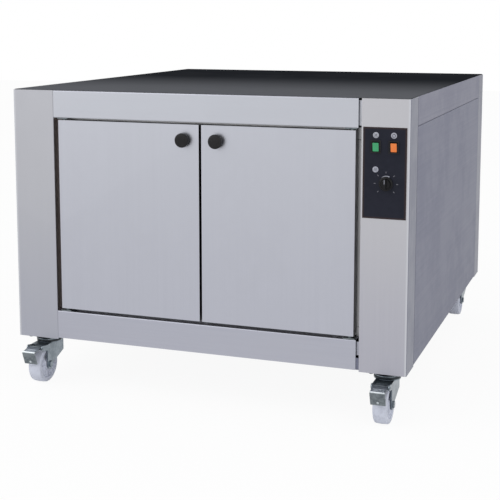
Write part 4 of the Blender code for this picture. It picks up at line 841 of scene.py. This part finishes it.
def addWheel(corner):
    # tyre and core in one moulding: crowned tread, flat rim, dished web with radial ribs, round hub
    node = corner + "_castor_wheel"
    low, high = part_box(node)
    radius, half, bend = (high.z - low.z) / 2, (high.x - low.x) / 2, wheel["treadBend"]
    rows = [(wheel["bore"], 0)] + [(r, half - inset) for r, inset in wheel["side"]] + [(radius - bend, half)]
    rows += arcRows(radius - bend - wheel["crown"], half - bend, bend, 85, 12, 6) + [(radius, 0)]
    radii, out = np.array(rows).T
    full = np.concatenate((radii, radii[::-1][1:-1]))
    along = np.concatenate((out, -out[::-1][1:-1]))
    segments = wheel["segments"]
    t = np.arange(segments) * 2 * math.pi / segments
    ribWave = np.abs(np.cos(wheel["ribs"] * t / 2)) ** wheel["ribSharp"] * wheel["ribRise"]
    depth = np.repeat(along[:, None], segments, axis=1)
    for row, (r, a) in enumerate(zip(full, along)):
        if wheel["ribFrom"] < r < wheel["ribTo"]:
            depth[row] += np.sign(a) * ribWave
    shape = lathe((low + high) / 2, (1, 0, 0), full, depth, segments, closed=True)
    makePiece(corner + "_wheel_moulded", [shape], wheelGrey, corner + "_wheel", (node,),
              sharp=wheel["sharp"])


plate = {"thick": 0.0035, "boltInset": 0.0105, "boltTurn": 40}
bolt = {"radius": 0.0062, "high": 0.0048, "top": 0.86, "flank": 0.84, "washer": 0.0085, "washerHigh": 0.0013,
        "washerRim": 0.0003, "headFrom": 0.0012, "points": 32}
sleeve = {"segments": 96, "halfThick": 0.0004, "rim": 0.0002}
# sleeves for painted shade under the body: round the ball race and round the fork's head
raceShadeSleeve = {"radius": 0.0360, "top": 0.0006, "bottom": 0.0122, "bead": 0.0009, "beadUp": 0.0010}
headShadeBand = {"radius": 0.0340, "top": 0.0152, "bottom": 0.0217, "rimHigh": 0.0003}


def hexBolt(centre, start):
    # washer as a thin ring under a six-sided head with a turned top edge, both hanging down
    facing, under = (0, 0, -1), -surface["below"]
    wide, thick, rim = bolt["washer"], bolt["washerHigh"], bolt["washerRim"]
    washer = lathe(centre, facing, (0, wide, wide, wide - rim, 0), (under, under, thick - rim, thick, thick),
                   bolt["points"])
    base = np.array(centre) + np.array(facing) * bolt["headFrom"]
    radius, high = bolt["radius"], bolt["high"]
    head = lathe(base, facing, (0, radius, radius, radius * bolt["top"], 0),
                 (0, 0, high * bolt["flank"], high, high), 6, start)
    return [washer, head]


def addSleeve(name, centre, ring, outside, look, body):
    # a thin ring round the king pin: its outside rows, between the ends of a straight inner wall
    inner = ring["radius"] - sleeve["halfThick"]
    radii, along = zip(*[(inner, ring["top"])] + outside + [(inner, ring["bottom"])])
    shape = lathe(centre, (0, 0, -1), radii, along, sleeve["segments"], closed=True)
    makePiece(name, [shape], look, body)


def addCastorFittings(corner):
    low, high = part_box(corner + "_castor_plate")
    plateLow = high.z - plate["thick"]
    bolts = []
    for x in (low.x + plate["boltInset"], high.x - plate["boltInset"]):
        for y in (low.y + plate["boltInset"], high.y - plate["boltInset"]):
            bolts += hexBolt((x, y, plateLow), x * plate["boltTurn"])
    makePiece(corner + "_plate_bolts", bolts, zincDull, "cabinet")
    # near-black sleeve round the ball race, with a bead at its lower rim: painted shade where the body shades
    # the race
    centre = ((low.x + high.x) / 2, (low.y + high.y) / 2, plateLow)
    outer, bottom = raceShadeSleeve["radius"] + sleeve["halfThick"], raceShadeSleeve["bottom"]
    bead = arcRows(outer - sleeve["rim"], bottom - raceShadeSleeve["beadUp"], raceShadeSleeve["bead"], -80, 80, 7)
    outside = [(outer, raceShadeSleeve["top"])] + bead + [(outer - sleeve["rim"], bottom)]
    addSleeve(corner + "_race_shade_sleeve", centre, raceShadeSleeve, outside, raceShadeBlack, "cabinet")
    # dark band round the fork's head, plain, with turned rims: painted shade under the body
    outer, top, bottom = headShadeBand["radius"] + sleeve["halfThick"], headShadeBand["top"], headShadeBand["bottom"]
    outside = [(outer - sleeve["rim"], top), (outer, top + headShadeBand["rimHigh"]),
               (outer, bottom - headShadeBand["rimHigh"]), (outer - sleeve["rim"], bottom)]
    addSleeve(corner + "_head_shade_band", centre, headShadeBand, outside, zincShadeDark, corner + "_swivel")


pedal = {"points": 40, "halfWide": 0.0186, "rollRadius": 0.0031, "rollBack": 0.0043, "rollUp": 0.0006,
         "rollHole": 0.0017, "rollDeep": 0.0040, "holeRim": 0.0003, "rollRim": 0.0004,
         "pin": (-0.038, 0.058), "tip": (-0.077, 0.050), "shoe": (-0.0635, 0.016),
         "ridgeAt": (0.50, 0.66, 0.82), "ridgeWide": 0.0011, "ridgeHigh": 0.0008, "ridgeLong": 0.0140,
         "studAt": 0.80, "studRadius": 0.0034, "studHigh": 0.0016, "studFoot": 0.0002, "studPoints": 32}


def addPedalFittings(side):
    # rolled front edge with hollow ends, ridges across the tread and a domed stud on the shoe's front;
    # the pedal's own bent line is pin, tip and shoe, each as (y, z) from the wheel's middle
    word = "front_" + side
    axle = middleOf(word + "_castor_wheel")
    pin, tip, shoe = [axle + np.array((0, *pedal[spot])) for spot in ("pin", "tip", "shoe")]
    roll, hole, half = pedal["rollRadius"], pedal["rollHole"], pedal["halfWide"]
    rows = [(0, half - pedal["rollDeep"]), (hole, half - pedal["rollDeep"]), (hole, half - pedal["holeRim"]),
            (hole + pedal["holeRim"], half), (roll - pedal["rollRim"], half), (roll, half - pedal["rollRim"])]
    rows += [(radius, -along) for radius, along in reversed(rows)]
    radii, along = zip(*rows)
    centre = tip + np.array((0, pedal["rollBack"], pedal["rollUp"]))
    shapes = [lathe(centre, (1, 0, 0), radii, along, pedal["points"])]
    slope = tip - pin
    reach = np.linspace(-pedal["ridgeLong"], pedal["ridgeLong"], 5)[:, None] * np.array((1.0, 0, 0))
    for share in pedal["ridgeAt"]:
        shapes.append(sweepBar(pin + share * slope + reach, pedal["ridgeWide"], pedal["ridgeHigh"],
                               slope / np.linalg.norm(slope)))
    drop = shoe - tip
    forward = np.cross((1, 0, 0), drop)
    forward *= math.copysign(1, -forward[1]) / np.linalg.norm(forward)
    r, k, foot = pedal["studRadius"], pedal["studHigh"], -pedal["studFoot"]
    turn = np.radians((0, 20, 40, 60, 78, 90))
    shapes.append(lathe(tip + pedal["studAt"] * drop, forward, [0, r] + list(r * np.cos(turn)),
                        [foot, foot] + list(k * np.sin(turn)), pedal["studPoints"]))
    # painted highlight: roll, ridges and stud in the lighter copy of the plating
    makePiece(word + "_pedal_fittings", shapes, zincHighlight, word + "_brake")


for corner in corners:
    addWheel(corner)
    addCastorFittings(corner)
for side in ("left", "right"):
    addPedalFittings(side)
print("castors made")


# ---- floor, light and surroundings

studio = {"floor": 12.0, "floorTone": (0.86, 0.86, 0.86, 1), "floorRoughness": 0.9, "white": (1, 1, 1, 1),
          "floorGlow": 0.93, "world": 0.78, "aim": (0, 0, 0.4),
          "lamps": {"key": {"place": (-2.4, -3.2, 3.4), "power": 70, "size": 4.4},
                    "fill": {"place": (3.2, -2.2, 2.2), "power": 26, "size": 3.8}}}


def seenDirectly(tree):
    # 1 for camera, mirror and glass rays, which meet plain white; 0 for the soft light that falls on things
    path = tree.nodes.new("ShaderNodeLightPath")
    two = addNode(tree, "ShaderNodeMath", operation="MAXIMUM")
    three = addNode(tree, "ShaderNodeMath", operation="MAXIMUM")
    joinNodes(tree, (path.outputs["Is Camera Ray"], two.inputs[0]),
              (path.outputs["Is Glossy Ray"], two.inputs[1]),
              (two.outputs[0], three.inputs[0]), (path.outputs["Is Transmission Ray"], three.inputs[1]))
    return three.outputs[0]


def addFloor():
    # a white plane that is clear from below, so that the underside can be seen
    mesh = bpy.data.meshes.new("floor")
    half = studio["floor"]
    mesh.from_pydata([(-half, -half, 0), (half, -half, 0), (half, half, 0), (-half, half, 0)], [],
                     [(0, 1, 2, 3)])
    floor = bpy.data.objects.new("floor", mesh)
    scene.collection.objects.link(floor)
    look = bpy.data.materials.new("paleFloor")
    look.use_nodes = True
    tree = look.node_tree
    shader = tree.nodes["Principled BSDF"]
    shader.inputs["Roughness"].default_value = studio["floorRoughness"]
    shader.inputs["Specular IOR Level"].default_value = 0.0
    shader.inputs["Base Color"].default_value = studio["floorTone"]
    share = addNode(tree, "ShaderNodeMath", {1: studio["floorGlow"]}, operation="MULTIPLY")
    glow = addNode(tree, "ShaderNodeEmission", {"Color": studio["white"], "Strength": 1.0})
    blend, below = tree.nodes.new("ShaderNodeMixShader"), tree.nodes.new("ShaderNodeMixShader")
    joinNodes(tree, (seenDirectly(tree), share.inputs[0]), (share.outputs[0], blend.inputs[0]),
              (shader.outputs[0], blend.inputs[1]), (glow.outputs[0], blend.inputs[2]),
              (tree.nodes.new("ShaderNodeNewGeometry").outputs["Backfacing"], below.inputs[0]),
              (blend.outputs[0], below.inputs[1]),
              (tree.nodes.new("ShaderNodeBsdfTransparent").outputs[0], below.inputs[2]),
              (below.outputs[0], tree.nodes["Material Output"].inputs["Surface"]))
    mesh.materials.append(look)


def addSurroundings():
    world = bpy.data.worlds.new("studio")
    scene.world = world
    world.use_nodes = True
    tree = world.node_tree
    white = addNode(tree, "ShaderNodeBackground", {"Color": studio["white"], "Strength": 1.0})
    soft = tree.nodes["Background"]
    soft.inputs["Color"].default_value = studio["white"]
    soft.inputs["Strength"].default_value = studio["world"]
    blend = tree.nodes.new("ShaderNodeMixShader")
    joinNodes(tree, (seenDirectly(tree), blend.inputs[0]), (soft.outputs[0], blend.inputs[1]),
              (white.outputs[0], blend.inputs[2]),
              (blend.outputs[0], tree.nodes["World Output"].inputs["Surface"]))
    for name, values in studio["lamps"].items():
        lamp = bpy.data.lights.new(name, "AREA")
        lamp.energy, lamp.size = values["power"], values["size"]
        holder = bpy.data.objects.new(name, lamp)
        scene.collection.objects.link(holder)
        place = Vector(values["place"])
        holder.location = place
        holder.rotation_euler = (Vector(studio["aim"]) - place).to_track_quat("-Z", "Y").to_euler()


addFloor()
addSurroundings()
print("studio made")
